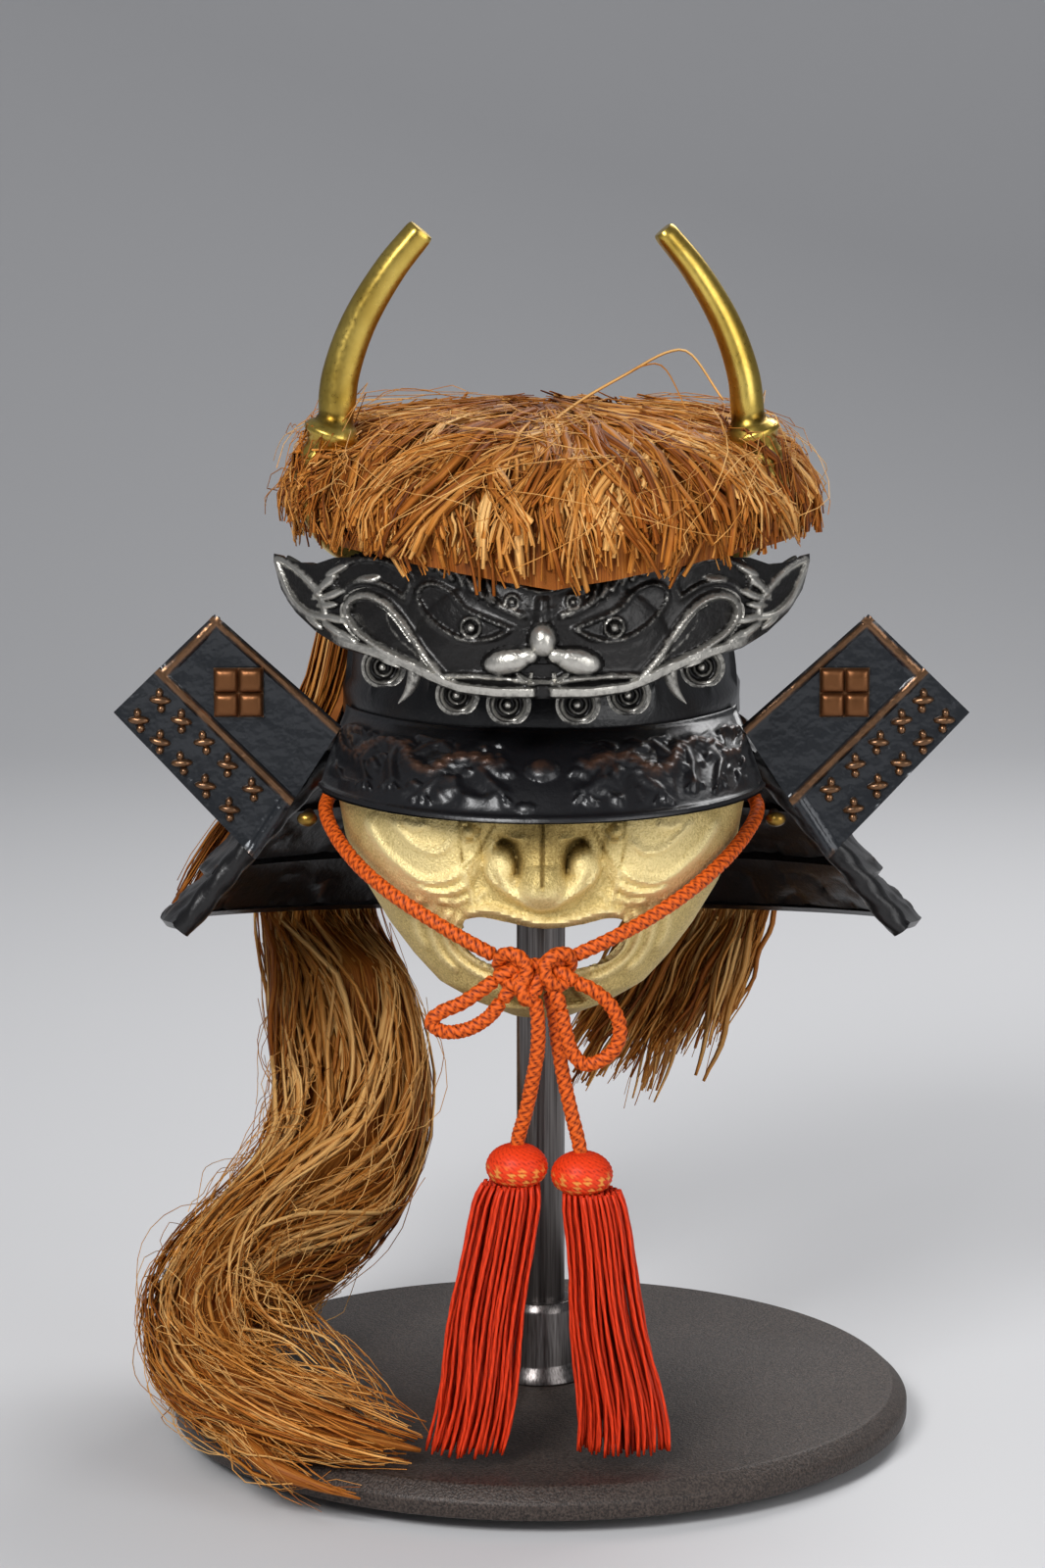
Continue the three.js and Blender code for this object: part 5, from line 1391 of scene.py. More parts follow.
def mask_shape(across, up):
    z = 134 + (196 - 134) * up ** 0.9
    half_width, front, back = (
        np.interp(z, [row[0] for row in MASK_SECTIONS], [row[index] for row in MASK_SECTIONS]) for index in (1, 2, 3)
    )
    angle = (across * 2 - 1) * math.pi / 2
    bow = np.cos(angle) ** 0.8
    x = half_width * np.sin(angle)
    height, bright = mask_front(x, z)
    fade = smooth_step(0.02, 0.25, bow) * smooth_step(134, 138, z)
    edge = 0.5 * bell(bow, 0.02, 0.05)
    y = back + (front - back) * bow - height * fade * (0.3 + 0.7 * bow)
    return np.column_stack([x + edge * np.sign(x), y, z]), np.clip(bright, 0, 1.4)


def open_hole(piece, outline):
    """Take out the faces inside the outline and draw the edge that is left onto it."""
    points = read_points(piece) / mm
    corners = np.empty(len(piece.data.loops), dtype=int)
    piece.data.loops.foreach_get("vertex_index", corners)
    corners = corners.reshape(-1, 4)
    middles = points[corners].mean(axis=1)
    within = inside_outline(middles[:, 0], middles[:, 2], outline)
    bpy.ops.object.mode_set(mode="EDIT")
    bpy.ops.mesh.select_mode(type="FACE")
    bpy.ops.mesh.select_all(action="DESELECT")
    bpy.ops.object.mode_set(mode="OBJECT")
    piece.data.polygons.foreach_set("select", within)
    bpy.ops.object.mode_set(mode="EDIT")
    bpy.ops.mesh.delete(type="FACE")
    bpy.ops.mesh.select_mode(type="VERT")
    bpy.ops.object.mode_set(mode="OBJECT")
    edges, uses = np.unique(np.sort(np.array(
        [key for face in piece.data.polygons for key in face.edge_keys]), axis=1), axis=0, return_counts=True)
    rim = np.unique(edges[uses == 1])
    points = read_points(piece) / mm
    low, high = outline.min(axis=0) - 2, outline.max(axis=0) + 2
    place = points[rim][:, [0, 2]]
    near = rim[np.all((place > low) & (place < high), axis=1)]
    for index in near:
        starts, ends = outline, np.roll(outline, -1, axis=0)
        run = ends - starts
        t = np.clip(np.sum((points[index][[0, 2]] - starts) * run, axis=1) / np.sum(run * run, axis=1), 0, 1)
        feet = starts + run * t[:, None]
        best = feet[np.argmin(np.linalg.norm(feet - points[index][[0, 2]], axis=1))]
        points[index, 0], points[index, 2] = best
    write_points(piece, points * mm)


mask = sculpted_wall(230, 84, mask_shape, 0, (0, -30, 165))
mouth_line = smooth_route([(x, 0, z) for x, z in MOUTH + MOUTH[:1]], 0.8)[:-1][:, [0, 2]]
open_hole(mask, mouth_line)
apply_modifier(mask, "SOLIDIFY", thickness=MASK_WALL * mm, offset=-1, use_even_offset=False)

sand_gold, tree, shader = new_finish("sandy_gold_casting")
# Its relief attribute carries the mask's painted light and shade, which is added to the sandy tone.
relief = add(tree, "ShaderNodeAttribute", attribute_name="relief")
place = object_place(tree)
sand = noise(tree, place, 1500.0, 2.0, 0.7)
drift = noise(tree, place, 70.0, 5.0)
tone = add(tree, "ShaderNodeMath", operation="MULTIPLY_ADD")
wire(tree, drift, "Fac", tone, 0)
tone.inputs[1].default_value = 0.45
wire(tree, relief, "Fac", tone, 2)
speckle = add(tree, "ShaderNodeMath", operation="MULTIPLY_ADD")
wire(tree, sand, "Fac", speckle, 0)
speckle.inputs[1].default_value = 1.1
wire(tree, tone, "Value", speckle, 2)
brought_in = to_range(tree, speckle, "Value", 0.35, 1.75, 0.0, 1.0)
shade = ramp(
    tree, brought_in, "Result", (0.08, (0.07, 0.045, 0.010)), (0.95, (0.86, 0.70, 0.34)), (0.45, (0.34, 0.235, 0.07)),
    (0.7, (0.62, 0.47, 0.18)),
)
wire(tree, shade, "Color", shader, "Base Color")
gloss = to_range(tree, sand, "Fac", 0.3, 0.7, 0.42, 0.62)
wire(tree, gloss, "Result", shader, "Roughness")
bumped(tree, shader, sand, "Fac", 0.8, 0.0005)
shader.inputs["Metallic"].default_value = 0.6
finish_piece(mask, "sandy_half_mask", sand_gold, "sand_gold", "face_mask")

# ---------------------------------------------------------------- hair over the crown
# Long combed hemp, dyed golden brown, tied down on the crown and cut off blunt above the crest. Flat ribbons
# of fibres hang together in locks over a packed bed.
CAP_EDGE = [(0, 254.5), (24, 259), (45, 262), (70, 263.5), (110, 264), (180, 262.5)]
CAP_ROWS = [(0, None), (2.5, 273), (-4, 286), (-19, 293.5), (-44, 296.5), (-71, 296)]
CAP_HALF_WIDTH, CAP_HALF_DEPTH, CAP_CENTRE = 71.0, 80.0, (3.0, -17.0)

hemp, tree, shader = new_finish("golden_hemp")
tone = add(tree, "ShaderNodeAttribute", attribute_name="tone")
along = add(tree, "ShaderNodeAttribute", attribute_name="along")
across = add(tree, "ShaderNodeAttribute", attribute_name="across")
run = add(tree, "ShaderNodeAttribute", attribute_name="run")
grain = add(tree, "ShaderNodeCombineXYZ")
wire(tree, across, "Fac", grain, "X")
wire(tree, run, "Fac", grain, "Y")
fibres = add(tree, "ShaderNodeTexNoise", {"Scale": 2.1, "Detail": 3.0})
wire(tree, grain, "Vector", fibres, "Vector")
drift = noise(tree, object_place(tree), 45.0, 3.0)
mixed = add(tree, "ShaderNodeMath", operation="MULTIPLY_ADD")
wire(tree, drift, "Fac", mixed, 0)
mixed.inputs[1].default_value = 0.3
wire(tree, tone, "Fac", mixed, 2)
streaked = add(tree, "ShaderNodeMath", operation="MULTIPLY_ADD")
wire(tree, fibres, "Fac", streaked, 0)
streaked.inputs[1].default_value = 1.1
wire(tree, mixed, "Value", streaked, 2)
spread = to_range(tree, streaked, "Value", 0.4, 2.0, 0, 1)
shade = ramp(
    tree, spread, "Result", (0.06, (0.060, 0.011, 0.001)), (0.88, (0.86, 0.52, 0.19)), (0.3, (0.27, 0.074, 0.008)),
    (0.54, (0.53, 0.205, 0.034)),
)
tips = ramp(tree, along, "Fac", (0.88, (0.92, 0.92, 0.92)), (1.0, (1.25, 1.15, 1.0)))
lit = add(tree, "ShaderNodeMix", data_type="RGBA", blend_type="MULTIPLY")
lit.inputs["Factor"].default_value = 1.0
wire(tree, shade, "Color", lit, "A")
wire(tree, tips, "Color", lit, "B")
wire(tree, lit, "Result", shader, "Base Color")
bumped(tree, shader, fibres, "Fac", 0.5, 0.0002)
shader.inputs["Roughness"].default_value = 0.55
shader.inputs["Specular IOR Level"].default_value = 0.16


def hair_ribbons(routes, outwards, widths, tones, seed, thick=0.2, start=0.6, end=0.8):
    """Closed flat ribbons along the routes, an array of ribbons, steps and 3. Their faces point inwards."""
    rng = np.random.default_rng(seed)
    count, steps, _ = routes.shape
    tangents = unit(np.gradient(routes, axis=1))
    across = unit(np.cross(tangents, outwards))
    lifted = np.cross(across, tangents)
    way = np.linspace(0, 1, steps)[None, :, None]
    roll = rng.normal(0, 0.35, (count, 1, 1)) + rng.normal(0, 0.5, (count, 1, 1)) * way
    side = across * np.cos(roll) + lifted * np.sin(roll)
    up = lifted * np.cos(roll) - across * np.sin(roll)
    taper = np.minimum(1, start + (1 - start) * way * 5) * (1 - (1 - end) * way ** 3)
    half = widths[:, None, None] / 2 * taper
    rings = np.stack([routes - side * half, routes + side * half, routes + up * (thick + half * 0.16)], axis=2)
    points, faces = joined_tubes(rings)
    offset = rng.uniform(0, 900, (count, 1, 1))
    sideways = np.concatenate([offset - half, offset + half, offset + half * 0], axis=2)
    gone = np.cumsum(np.linalg.norm(np.diff(routes, axis=1, prepend=routes[:, :1]), axis=2), axis=1) * 0.03
    values = {
        "tone": np.repeat(tones, steps * 3),
        "along": np.tile(np.repeat(np.linspace(0, 1, steps), 3), count),
        "across": sideways.ravel(),
        "run": np.repeat(gone.ravel(), 3),
    }
    return points, faces, values


def along_locks(values, place):
    """The values of each lock at places between its steps; the place has the shape locks, ribbons, steps."""
    place = np.clip(place, 0, values.shape[1] - 1.001)
    low = place.astype(int)
    share = (place - low)[..., None]
    lock = np.arange(len(values))[:, None, None]
    return values[lock, low] * (1 - share) + values[lock, low + 1] * share


def lock_ribbons(rng, centres, outwards, per, spread, wave, shortest=0.82, latest=0.12, pinch=0.45):
    """Routes of the ribbons of each lock: spread round its middle, drawn in half way down, and waved."""
    count, steps, _ = centres.shape
    way = np.linspace(0, 1, steps)[None, None, :]
    begin, finish = rng.uniform(0, latest, (count, per, 1)), rng.uniform(shortest, 1.0, (count, per, 1))
    place = (begin + (finish - begin) * way) * (steps - 1)
    middle, outward = along_locks(centres, place), unit(along_locks(outwards, place))
    tangents = unit(np.gradient(middle, axis=2))
    across = unit(np.cross(tangents, outward))
    spread = np.broadcast_to(np.asarray(spread, dtype=float), (count, steps))
    width = along_locks(spread[..., None], place)[..., 0]
    gather = 1 - pinch * np.sin(math.pi * way ** 0.8)
    turns = rng.uniform(1.0, 2.6, (count, per, 1))
    sway = wave * np.sin(2 * math.pi * turns * way + rng.uniform(0, 6.3, (count, per, 1))) * np.minimum(1, 4 * way)
    heave = wave * np.sin(2 * math.pi * turns * way * 0.8 + rng.uniform(0, 6.3, (count, per, 1))) * way
    reach = rng.normal(0, 1, (count, per, 1)) * width * gather + sway
    lift = rng.normal(0, 0.45, (count, per, 1)) * width * gather + 0.5 * heave
    routes = middle + across * reach[..., None] + outward * lift[..., None]
    return routes.reshape(count * per, steps, 3), outward.reshape(count * per, steps, 3)


def lock_tones(rng, count, per, low=0.0, high=0.8):
    """Each lock has its own tone, and its ribbons vary round it."""
    base = rng.uniform(low, high, (count, 1))
    return np.clip(base + rng.normal(0, 0.16, (count, per)), 0, 1).ravel()


def ribbon_widths(rng, low, high, count):
    """Most ribbons are narrow, and a few are wide."""
    return low + (high - low) * rng.random(count) ** 2.2


def keep_clear(routes, line, radius):
    """Push every point of the routes out of a round rod along the line."""
    points = routes.reshape(-1, 3).copy()
    for centre in line:
        offset = points - centre
        distance = np.maximum(np.linalg.norm(offset, axis=1, keepdims=True), 1e-6)
        points += offset / distance * np.maximum(0, radius - distance)
    return points.reshape(routes.shape)


def hair_piece(name, ribbon_sets, beds, *nodes):
    points = np.vstack([ribbon_points for ribbon_points, _, _ in ribbon_sets])
    faces, count = [], 0
    for ribbon_points, ribbon_faces, _ in ribbon_sets:
        faces += [face_set + count for face_set in ribbon_faces]
        count += len(ribbon_points)
    keys = ribbon_sets[0][2]
    hair = mesh_from_arrays(name, points, faces, **{
        key: np.concatenate([values[key] for _, _, values in ribbon_sets]) for key in keys
    })
    join(hair, beds)
    hair.data.materials.clear()
    hair.data.materials.append(hemp)
    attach(hair, "root")
    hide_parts(*nodes)
    return hair


def cap_point(angle, up, lift):
    """A point of the cap's outside; the angle is in degrees from the front, up is 0 at the cut edge."""
    turn = np.radians(angle)
    from_front = np.abs((angle + 180) % 360 - 180)
    edge = np.interp(from_front, [row[0] for row in CAP_EDGE], [row[1] for row in CAP_EDGE])
    place = np.clip(up, 0, 1) * 5
    low = np.minimum(np.floor(place).astype(int), 4)
    t = place - low
    grow_table = np.array([row[0] for row in CAP_ROWS], dtype=float)
    z_table = np.array([0] + [row[1] for row in CAP_ROWS[1:]], dtype=float)
    grow = grow_table[low] + (grow_table[low + 1] - grow_table[low]) * t
    z_low = np.where(low == 0, edge, z_table[low])
    z = z_low + (z_table[low + 1] - z_low) * t
    z = np.where(up < 0, edge + up * 60, z)
    half_width = CAP_HALF_WIDTH + grow
    half_depth = half_width * CAP_HALF_DEPTH / CAP_HALF_WIDTH
    steep = np.sin(np.clip(up, 0, 1) * math.pi / 2)
    out = lift * (1 - steep * 0.6)
    x = CAP_CENTRE[0] * (1 - up) + (half_width + out) * np.sin(turn)
    y = CAP_CENTRE[1] * (1 - up) - (half_depth + out) * np.cos(turn)
    return np.stack([x, y, z + lift * steep * 0.7], axis=-1)


def cap_locks(rng, start_angle, start_up, end_angle, end_up, lift, spring, steps, swing=5.0, leave=0.68, fall=1.2):
    """Middles of locks from a start to an end on the cap; they leave sideways and then fall."""
    count = len(start_angle)
    way = np.linspace(0, 1, steps)[None, :]
    angle = start_angle[:, None] + (end_angle - start_angle)[:, None] * way ** leave
    angle = angle + rng.normal(0, swing, (count, 1)) * np.sin(math.pi * way)
    angle = angle + rng.normal(0, swing * 0.4, (count, 1)) * np.sin(2 * math.pi * way + rng.uniform(0, 6, (count, 1)))
    up = start_up[:, None] + (end_up - start_up)[:, None] * way ** fall
    out = lift[:, None] * (0.3 + 0.7 * np.sin(math.pi * way * 0.8)) + spring[:, None] * way ** 3
    flat = (angle.ravel(), up.ravel())
    points = cap_point(*flat, out.ravel()).reshape(count, steps, 3)
    outward = cap_point(*flat, out.ravel() + 1).reshape(count, steps, 3) - points
    return points, unit(outward)


horn_lines = [smooth_route([(side * x, y, z) for x, y, z in HORN_ROUTE[:8]], 1.5) for side in (-1, 1)]
HORN_ROOM = 7.6


def cap_ribbons(rng, locks, per, spread, wave, widths, tones, seed, **settings):
    routes, outward = lock_ribbons(rng, *locks, per, spread, wave, **settings)
    for line in horn_lines:
        routes = keep_clear(routes, line, HORN_ROOM)
    return hair_ribbons(routes, outward, ribbon_widths(rng, *widths, len(routes)), tones, seed)


rng = np.random.default_rng(41)
cap_sets = []
# Under the others, locks from the top of the crown all the way round.
count, per = 72, 10
end_angle = np.linspace(-180, 180, count) + rng.normal(0, 3, count)
locks = cap_locks(
    rng, end_angle + rng.normal(0, 16, count), rng.uniform(0.55, 0.99, count), end_angle,
    rng.uniform(-0.02, 0.1, count), rng.uniform(-1.5, 1.2, count), rng.normal(0.2, 0.8, count), 8,
)
cap_sets.append(cap_ribbons(rng, locks, per, 2.8, 0.7, (0.6, 2.6), lock_tones(rng, count, per, 0.1, 0.6), 42))
# Four tufts, each from a root of its own: their start angles and ups, end angles, locks and how they arch.
TUFTS = [
    ((-40, 9), (0.60, 0.94), (-102, -34), 25, 0.75, 1.15),
    ((7, 5), (0.50, 0.70), (-52, 14), 30, 0.55, 1.55),
    ((15, 6), (0.66, 0.92), (6, 62), 26, 0.65, 1.3),
    ((38, 9), (0.60, 0.94), (50, 106), 20, 0.75, 1.15),
]
for index, (root, starts, ends, count, leave, fall) in enumerate(TUFTS):
    per = 13
    end_angle = rng.uniform(*ends, count)
    middle = np.abs(end_angle) < 55
    locks = cap_locks(
        rng, rng.normal(*root, count), rng.uniform(*starts, count), end_angle, rng.uniform(-0.03, 0.2, count),
        rng.uniform(0.2, 4.2, count) * np.where(middle, 1, 0.5), rng.normal(0.6, 1.3, count), 10, 5.0, leave, fall,
    )
    tones = lock_tones(rng, count, per, 0.1, 0.98)
    cap_sets.append(cap_ribbons(rng, locks, per, 1.9, 0.9, (0.45, 2.8), tones, 43 + index))
# Ends that spring out at both sides, cut at different heights.
count, per = 30, 9
end_angle = np.concatenate([rng.uniform(-118, -58, count // 2), rng.uniform(58, 122, count // 2)])
locks = cap_locks(
    rng, end_angle * 0.8 + rng.normal(0, 6, count), rng.uniform(0.45, 0.85, count), end_angle,
    rng.uniform(0.02, 0.45, count), rng.uniform(-0.5, 2.0, count), rng.uniform(1.0, 4.6, count), 9, 3.0,
)
tones = lock_tones(rng, count, per, 0.1, 0.9)
cap_sets.append(cap_ribbons(rng, locks, per, 1.7, 0.6, (0.3, 1.8), tones, 47, pinch=-0.1))
# Short cut ends fill the fringe's lower edge from behind.
count, per = 40, 9
end_angle = np.clip(rng.normal(0, 60, count), -150, 150)
locks = cap_locks(
    rng, end_angle + rng.normal(0, 7, count), rng.uniform(0.2, 0.42, count), end_angle + rng.normal(0, 4, count),
    rng.uniform(-0.07, 0.06, count), rng.uniform(-2.6, 0.2, count), rng.normal(0.4, 1.2, count), 6, 2.0,
)
tones = lock_tones(rng, count, per, 0.1, 0.8)
cap_sets.append(cap_ribbons(rng, locks, per, 2.2, 0.4, (0.4, 1.9), tones, 48, pinch=-0.2))
# Fine strays stand off the crown.
count = 150
end_angle = rng.uniform(-120, 120, count)
locks = cap_locks(
    rng, end_angle + rng.normal(0, 40, count), rng.uniform(0.3, 0.85, count), end_angle,
    rng.uniform(0.0, 0.6, count), rng.uniform(2, 11, count), rng.uniform(0, 4, count), 10, 10.0,
)
cap_sets.append(cap_ribbons(rng, locks, 1, 0.5, 1.5, (0.18, 0.4), rng.uniform(0.4, 1, count), 49))
# One long fibre springs up in a loop over the right side.
loop_route = smooth_route(
    [(0, -62, 294), (11, -44, 301), (23, -38, 307.5), (35, -34, 313.5), (40, -32, 313.4), (50, -32, 300)], 2.2,
)
loops = np.stack([loop_route, loop_route + np.linspace(0, 1, len(loop_route))[:, None] * np.array([-9, -3, -5])])
cap_sets.append(hair_ribbons(
    loops, np.tile([0.0, -1.0, 0.1], (2, len(loop_route), 1)), np.array([0.9, 0.6]), np.array([0.9, 0.7]), 50,
))


def bed_wall(name, columns, rows, surface, wall, centre, closes, width):
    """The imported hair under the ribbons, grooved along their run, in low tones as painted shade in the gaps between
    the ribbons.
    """
    def shape(across, up):
        return surface(across, up), across

    bed = sculpted_wall(columns, rows, shape, wall, centre, closes=closes)
    bed.name = name
    across = np.empty(len(bed.data.vertices), dtype=np.float32)
    bed.data.attributes["relief"].data.foreach_get("value", across)
    place = read_points(bed) / mm
    # Painted shade: the bed takes low tones, so it shows dark in the gaps between the ribbons.
    tones = 0.03 + 0.25 * lumps(across * width / 6, place[:, 2] / 30, 51)
    set_values(bed, tone=tones, along=np.full(len(tones), 0.5), across=across * width, run=place[:, 2] * 0.03)
    return bed


cap_bed = bed_wall(
    "cap_bed", 150, 22,
    lambda across, up: cap_point(across * 360, up, -2.8 + 1.8 * lumps(across * 100 % 50, up * 2.2, 52)),
    3.0, (0, -10, 270), True, 450,
)
hair_piece("hemp_fringe", cap_sets, [cap_bed], "hair_fringe")

# ---------------------------------------------------------------- hair down the back
# A mantle of the same hemp that hangs from under the fringe over the back of the bowl and the neck guard.
MANTLE_SECTIONS = [
    (261, 43.6, 50.2, 9), (251, 49.6, 56.8, 9), (240, 54, 62, 9), (218, 58.4, 66.6, 10), (206, 63, 71.5, 10),
    (184, 83.4, 81.5, 8), (160, 102.4, 90.5, 6), (146, 112.3, 97.4, 4.2),
]
MANTLE_LEFT, MANTLE_RIGHT = 97.0, 52.0


def mantle_point(across, down, proud):
    place = np.clip(down, 0, 1) * 7
    low = np.minimum(np.floor(place).astype(int), 6)
    t = place - low
    table = np.array(MANTLE_SECTIONS, dtype=float)
    row = table[low] + (table[low + 1] - table[low]) * t[:, None]
    drawn_in = 0.15 * smooth_step(0.55, 0.95, down)
    angle = np.radians(-MANTLE_LEFT + (MANTLE_LEFT + MANTLE_RIGHT) * (across + drawn_in * (1 - across)))
    fade = np.clip(np.minimum(6 * across, 6 * (1 - across)), 0.12, 1)
    lift = row[:, 3] * fade + proud
    z = np.where(down > 1, row[:, 0] - (down - 1) * 90, row[:, 0])
    return np.column_stack([
        (row[:, 1] + lift) * np.sin(angle), 2 + (row[:, 2] + lift) * np.cos(angle), z + 0.3 * proud,
    ])


def mantle_locks(rng, count, steps, proud_low, proud_high):
    way = np.linspace(0, 1, steps)[None, :]
    home = (np.arange(count)[:, None] + rng.uniform(0.1, 0.9, (count, 1))) / count
    across = home + rng.normal(0, 0.02, (count, 1)) * np.sin(way * 2.6)
    sway = np.sin(way * rng.uniform(4, 9, (count, 1)) + rng.uniform(0, 6, (count, 1)))
    across = np.clip(across + 0.014 * sway, 0, 1)
    down = rng.uniform(0, 0.06, (count, 1)) * (1 - way) + rng.uniform(0.93, 1.04, (count, 1)) * way
    proud = rng.uniform(proud_low, proud_high, (count, 1)) + rng.normal(0, 0.5, (count, 1)) * np.sin(way * 7)
    flat = (across.ravel(), down.ravel())
    points = mantle_point(*flat, proud.ravel()).reshape(count, steps, 3)
    outward = mantle_point(*flat, proud.ravel() + 1).reshape(count, steps, 3) - points
    return points, unit(outward)


rng = np.random.default_rng(61)
mantle_sets = []
for count, per, low, high, widths, seed in (
    (56, 10, -2.2, 0.2, (0.8, 3.2), 62), (46, 10, -0.4, 1.8, (0.35, 2.0), 63),
):
    locks = mantle_locks(rng, count, 12, low, high)
    routes, outward = lock_ribbons(rng, *locks, per, 2.2, 0.8, shortest=0.9, latest=0.05)
    tones = lock_tones(rng, count, per, 0.15, 0.8)
    mantle_sets.append(hair_ribbons(routes, outward, ribbon_widths(rng, *widths, len(routes)), tones, seed))
mantle_bed = bed_wall(
    "mantle_bed", 90, 24,
    lambda across, up: mantle_point(across, 1 - up, -3.0 + 1.4 * lumps(across * 60, up * 2, 64)),
    2.4, (0, 0, 200), False, 240,
)
hair_piece("hemp_mantle", mantle_sets, [mantle_bed], "hair_mantle")

# ---------------------------------------------------------------- tail and side lock
# The long ends of the hemp: a thick tangled tail that falls from behind the guard on the left, swings out and
# curls over the front of the base, and a thin sheet that sweeps inwards behind the post on the right.
TAIL_ROUTE = [
    (-68, 88, 150, 16), (-66, 84, 141, 20), (-62, 77, 124, 22.5), (-58, 71, 102, 22.5), (-57, 64, 82, 22.5),
    (-65, 50, 62, 22), (-78, 26, 50, 20.5), (-91, -6, 41, 18), (-95, -38, 34, 16), (-86, -66, 29, 14),
    (-67, -82, 26, 12), (-49, -88, 22, 9), (-33, -88, 18, 4.5),
]
LOOSE_ENDS = [
    [(-91, -8, 42, 9), (-95, -38, 35, 8.5), (-86, -64, 33, 8), (-68, -78, 33, 7),
     (-48, -82, 29, 5.5), (-30, -84, 19, 2.5)],
    [(-93, -10, 36, 9), (-96, -42, 30, 8.5), (-85, -72, 27, 8), (-69, -88, 24, 7),
     (-52, -94, 20, 5.5), (-36, -96, 16, 2.5)],
    [(-95, -14, 34, 9), (-97, -46, 27, 8), (-86, -74, 23, 7), (-75, -92, 16, 6),
     (-62, -99, 12, 5), (-49, -102, 9, 2.5)],
    [(-92, -6, 44, 9), (-91, -36, 38, 8.5), (-79, -62, 36, 7.5), (-61, -74, 34, 6),
     (-45, -78, 27, 4.5), (-34, -80, 19, 2)],
    [(-98, -4, 42, 9), (-103, -36, 33, 7.5), (-96, -64, 27, 6.5), (-83, -84, 22, 5.5),
     (-70, -96, 15, 4.5), (-62, -101, 10, 2)],
    [(-88, 2, 48, 8), (-84, -26, 46, 7), (-70, -46, 42, 6), (-56, -60, 36, 5), (-47, -70, 28, 4), (-42, -78, 20, 2)],
]
SIDE_LOCK_ENDS = [(3, 74, 94), (10, 78, 82), (20, 80, 78), (31, 80, 80), (42, 82, 88), (57, 84, 92)]
SIDE_LOCK_CORE = [(46, 88, 137, 9), (41, 82, 124, 8), (32, 79, 106, 6), (22, 79, 92, 3.6), (13, 79, 82, 1.2)]


def tail_locks(rng, route, count, steps, low, high, twist, wander=0.16):
    """Middles of locks that lie round a thick rope of hair, with the width of each on the way."""
    line = smooth_route([row[:3] for row in route], 1.0)
    radii = np.interp(np.linspace(0, 1, len(line)), np.linspace(0, 1, len(route)), [row[3] for row in route])
    sides, ups = carried_frames(line)
    way = np.linspace(0, 1, steps)[None, :] * np.ones((count, 1))
    phase = (np.arange(count)[:, None] + rng.uniform(-0.3, 0.3, (count, 1))) * 2 * math.pi / count
    sway = np.sin(way * rng.uniform(5, 11, (count, 1)) + rng.uniform(0, 6, (count, 1)))
    turn = phase + twist * way + wander * 2.4 * sway
    reach = rng.uniform(low, high, (count, 1)) + wander * np.sin(way * rng.uniform(6, 14, (count, 1)) + phase)
    index = way * (len(line) - 1)

    def at_index(values):
        if values.ndim == 1:
            return np.interp(index, np.arange(len(line)), values)
        return np.stack([np.interp(index, np.arange(len(line)), values[:, axis]) for axis in range(3)], axis=-1)

    outward = at_index(sides) * np.cos(turn)[..., None] + at_index(ups) * np.sin(turn)[..., None]
    return at_index(line) + outward * (at_index(radii) * reach)[..., None], unit(outward), at_index(radii)


HAIR_ROOM = 4.5


def settled(points):
    """Lift what would sink into the base, and keep what is above the guard's edge outside the guard."""
    x, y, z = points[..., 0], points[..., 1] - GUARD["centre_y"], points[..., 2]
    over = np.hypot(x, points[..., 1]) < BASE_RADIUS + 1.5
    z = np.maximum(z, np.where(over, BASE_TOP + 0.7, 1.2))
    edge = GUARD["bottom"] - GUARD["tilt"] * y / np.maximum(np.hypot(x, y), 1)
    down = np.clip((GUARD["top"] - z) / (GUARD["top"] - edge), 0, 1)
    half_width, half_depth = (half + HAIR_ROOM for half in guard_halves(down))
    inside = 1 / np.maximum(np.hypot(x / half_width, y / half_depth), 0.2)
    push = 1 + smooth_step(edge - 16, edge - 1, z) * (np.maximum(1, inside) - 1)
    return np.stack([x * push, y * push + GUARD["centre_y"], z], axis=-1)


def lock_bed(route, share):
    line = smooth_route([row[:3] for row in route], 3.0)
    sides, ups = carried_frames(line)
    way = np.linspace(0, 1, len(line))
    radii = np.interp(way, np.linspace(0, 1, len(route)), [row[3] for row in route]) * share
    radii = radii * np.sqrt(smooth_step(1.02, 0.72, way)) + 0.2
    count = 48
    turns = np.arange(count) * 2 * math.pi / count
    grooves = 0.07 * lumps(np.arange(count)[None] * 0.9, np.arange(len(line))[:, None] / 9, 72)
    reach = radii[:, None] * (0.95 + grooves)
    arms = arms_round(turns, sides, ups)
    points, faces = joined_tubes(settled(line[:, None] + arms * reach[..., None])[None])
    # Painted shade: the rope under the ribbons takes low tones, so it shows dark in the gaps between them.
    tones = 0.05 + 0.4 * lumps(
        np.tile(np.arange(count) * 0.5, len(line)), np.repeat(np.arange(len(line)) / 9, count), 71,
    )
    around = np.minimum(np.arange(count), count - np.arange(count)) * 2 * math.pi / count
    return mesh_from_arrays(
        "lock_bed", points, faces, tone=tones, along=np.full(len(points), 0.5),
        across=(around[None] * radii.mean() * np.ones((len(line), 1))).ravel(),
        run=np.repeat(np.arange(len(line)) * 3.0 * 0.03, count),
    )


def tail_ribbons(rng, route, count, per, steps, reach, widths, tones, seed, wave, spread, **settings):
    centres, outward, radii = tail_locks(rng, route, count, steps, *reach, 1.4)
    routes, outward = lock_ribbons(rng, centres, outward, per, radii * spread, wave, **settings)
    return hair_ribbons(settled(routes), outward, ribbon_widths(rng, *widths, len(routes)), tones, seed, end=0.2)


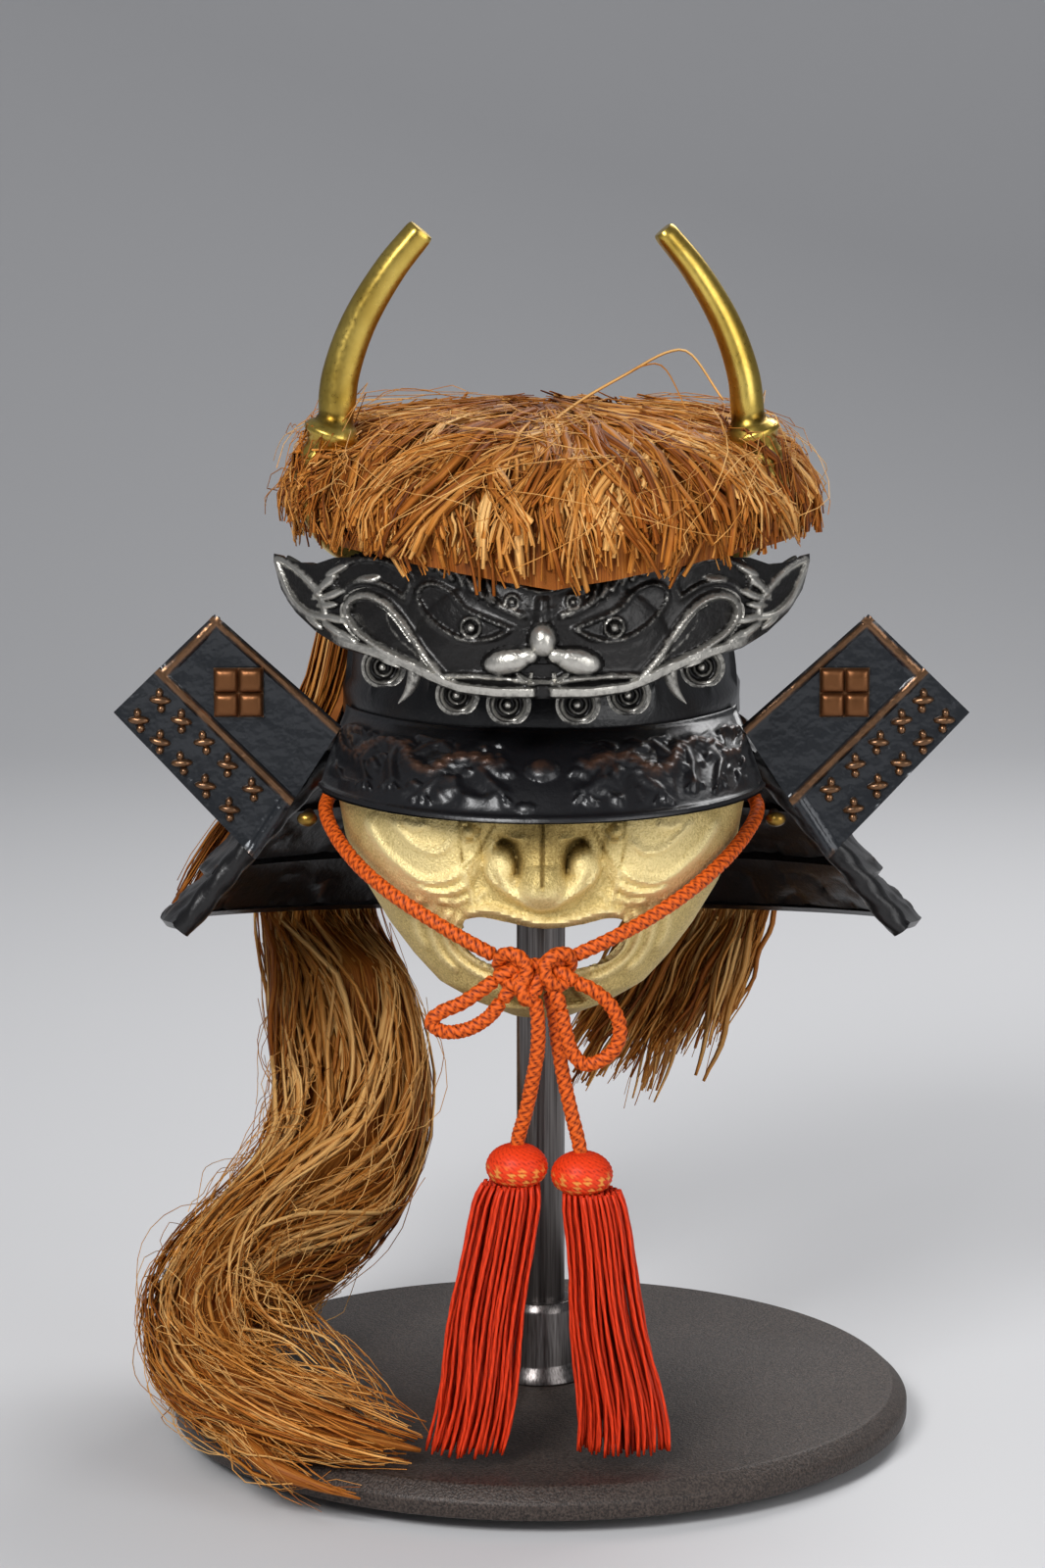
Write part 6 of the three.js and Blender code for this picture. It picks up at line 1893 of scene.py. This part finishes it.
def frizz(rng, route, count, seed):
    """Short loose curls that stand off a rope of hair."""
    centres, outward, _ = tail_locks(rng, route, count, 60, 0.85, 1.0, 1.4)
    steps = 9
    first = rng.integers(8, 46, count)
    rows = np.arange(count)[:, None]
    span = first[:, None] + np.linspace(0, 1, steps)[None] * rng.uniform(3, 11, (count, 1))
    low = np.floor(span).astype(int)
    share = (span - low)[..., None]
    middle = centres[rows, low] * (1 - share) + centres[rows, low + 1] * share
    away = outward[rows, low]
    across = unit(np.cross(np.gradient(middle, axis=1), away))
    way = np.linspace(0, 1, steps)[None]
    rise = rng.uniform(0, 7, (count, 1)) * np.sin(math.pi * way ** 0.8) + rng.uniform(-2, 5, (count, 1)) * way
    sway = rng.normal(0, 4.5, (count, 1)) * way ** 1.5 + 1.5 * np.sin(way * rng.uniform(4, 16, (count, 1)))
    routes = settled(middle + away * rise[..., None] + across * sway[..., None])
    return hair_ribbons(routes, away, rng.uniform(0.16, 0.42, count), rng.uniform(0.4, 1, count), seed)


rng = np.random.default_rng(81)
tail_sets = [
    tail_ribbons(rng, TAIL_ROUTE, 17, 17, 26, (0.74, 0.9), (0.9, 3.2), lock_tones(rng, 17, 17, 0.1, 0.75), 82, 1.5,
                 0.16, shortest=0.58, pinch=0.2),
    tail_ribbons(rng, TAIL_ROUTE, 19, 14, 26, (0.86, 1.04), (0.5, 2.8), lock_tones(rng, 19, 14, 0.2, 0.95), 83, 2.5,
                 0.15, shortest=0.6, pinch=0.3),
    tail_ribbons(rng, TAIL_ROUTE, 40, 1, 32, (0.98, 1.2), (0.18, 0.45), rng.uniform(0.4, 1, 40), 84, 4.0, 0.2,
                 shortest=0.4, latest=0.4),
    frizz(rng, TAIL_ROUTE, 420, 85),
]
for index, route in enumerate(LOOSE_ENDS):
    # Painted light: the loose ends over the front of the base take lighter tones than the rest of the tail, where the
    # key lamp falls on them.
    tones = lock_tones(rng, 4, 12, 0.35, 1.0)
    tail_sets.append(tail_ribbons(
        rng, route, 4, 12, 16, (0.3, 0.95), (0.3, 1.7), tones, 86 + index, 3.6, 0.42, shortest=0.5,
    ))
hair_piece("hemp_tail", tail_sets, [lock_bed(TAIL_ROUTE, 0.84), lock_bed(LOOSE_ENDS[2], 0.5)], "hair_tail")

rng = np.random.default_rng(91)
count, per, steps = 30, 12, 16
share = (np.arange(count) + rng.uniform(0, 1, count)) / count
start_x = 36 + 35 * share + rng.normal(0, 2, count)
starts = np.column_stack([start_x, 2 + 97 * np.sqrt(1 - (start_x / 112) ** 2), np.full(count, 150.0)])
ends = np.column_stack([
    np.interp(share * 5, np.arange(6), [end[axis] for end in SIDE_LOCK_ENDS]) for axis in range(3)
])
ends += rng.normal(0, 3.0, (count, 3)) * [1, 0.8, 1.4]
way = np.linspace(0, 1, steps)[None, :, None]
bow = (np.sin(math.pi * way) * [1.0, 0.0, -0.2] + way * 0) * rng.uniform(0, 5, (count, 1, 1))
centres = starts[:, None] * (1 - way ** 0.9) + ends[:, None] * way ** 0.9 + bow
outward = np.broadcast_to(unit(np.array([0.15, -1.0, 0.1])), centres.shape)
spread = np.interp(np.linspace(0, 1, steps), [0, 0.5, 1], [2.2, 2.6, 1.4])
routes, outward = lock_ribbons(rng, centres, outward, per, spread, 0.7, shortest=0.7, latest=0.03, pinch=0.1)
widths = ribbon_widths(rng, 0.4, 2.6, len(routes))
side_sets = [hair_ribbons(settled(routes), outward, widths, lock_tones(rng, count, per, 0.2, 0.9), 92, end=0.4)]
hair_piece("hemp_side_lock", side_sets, [lock_bed(SIDE_LOCK_CORE, 0.12)], "hair_side_lock")
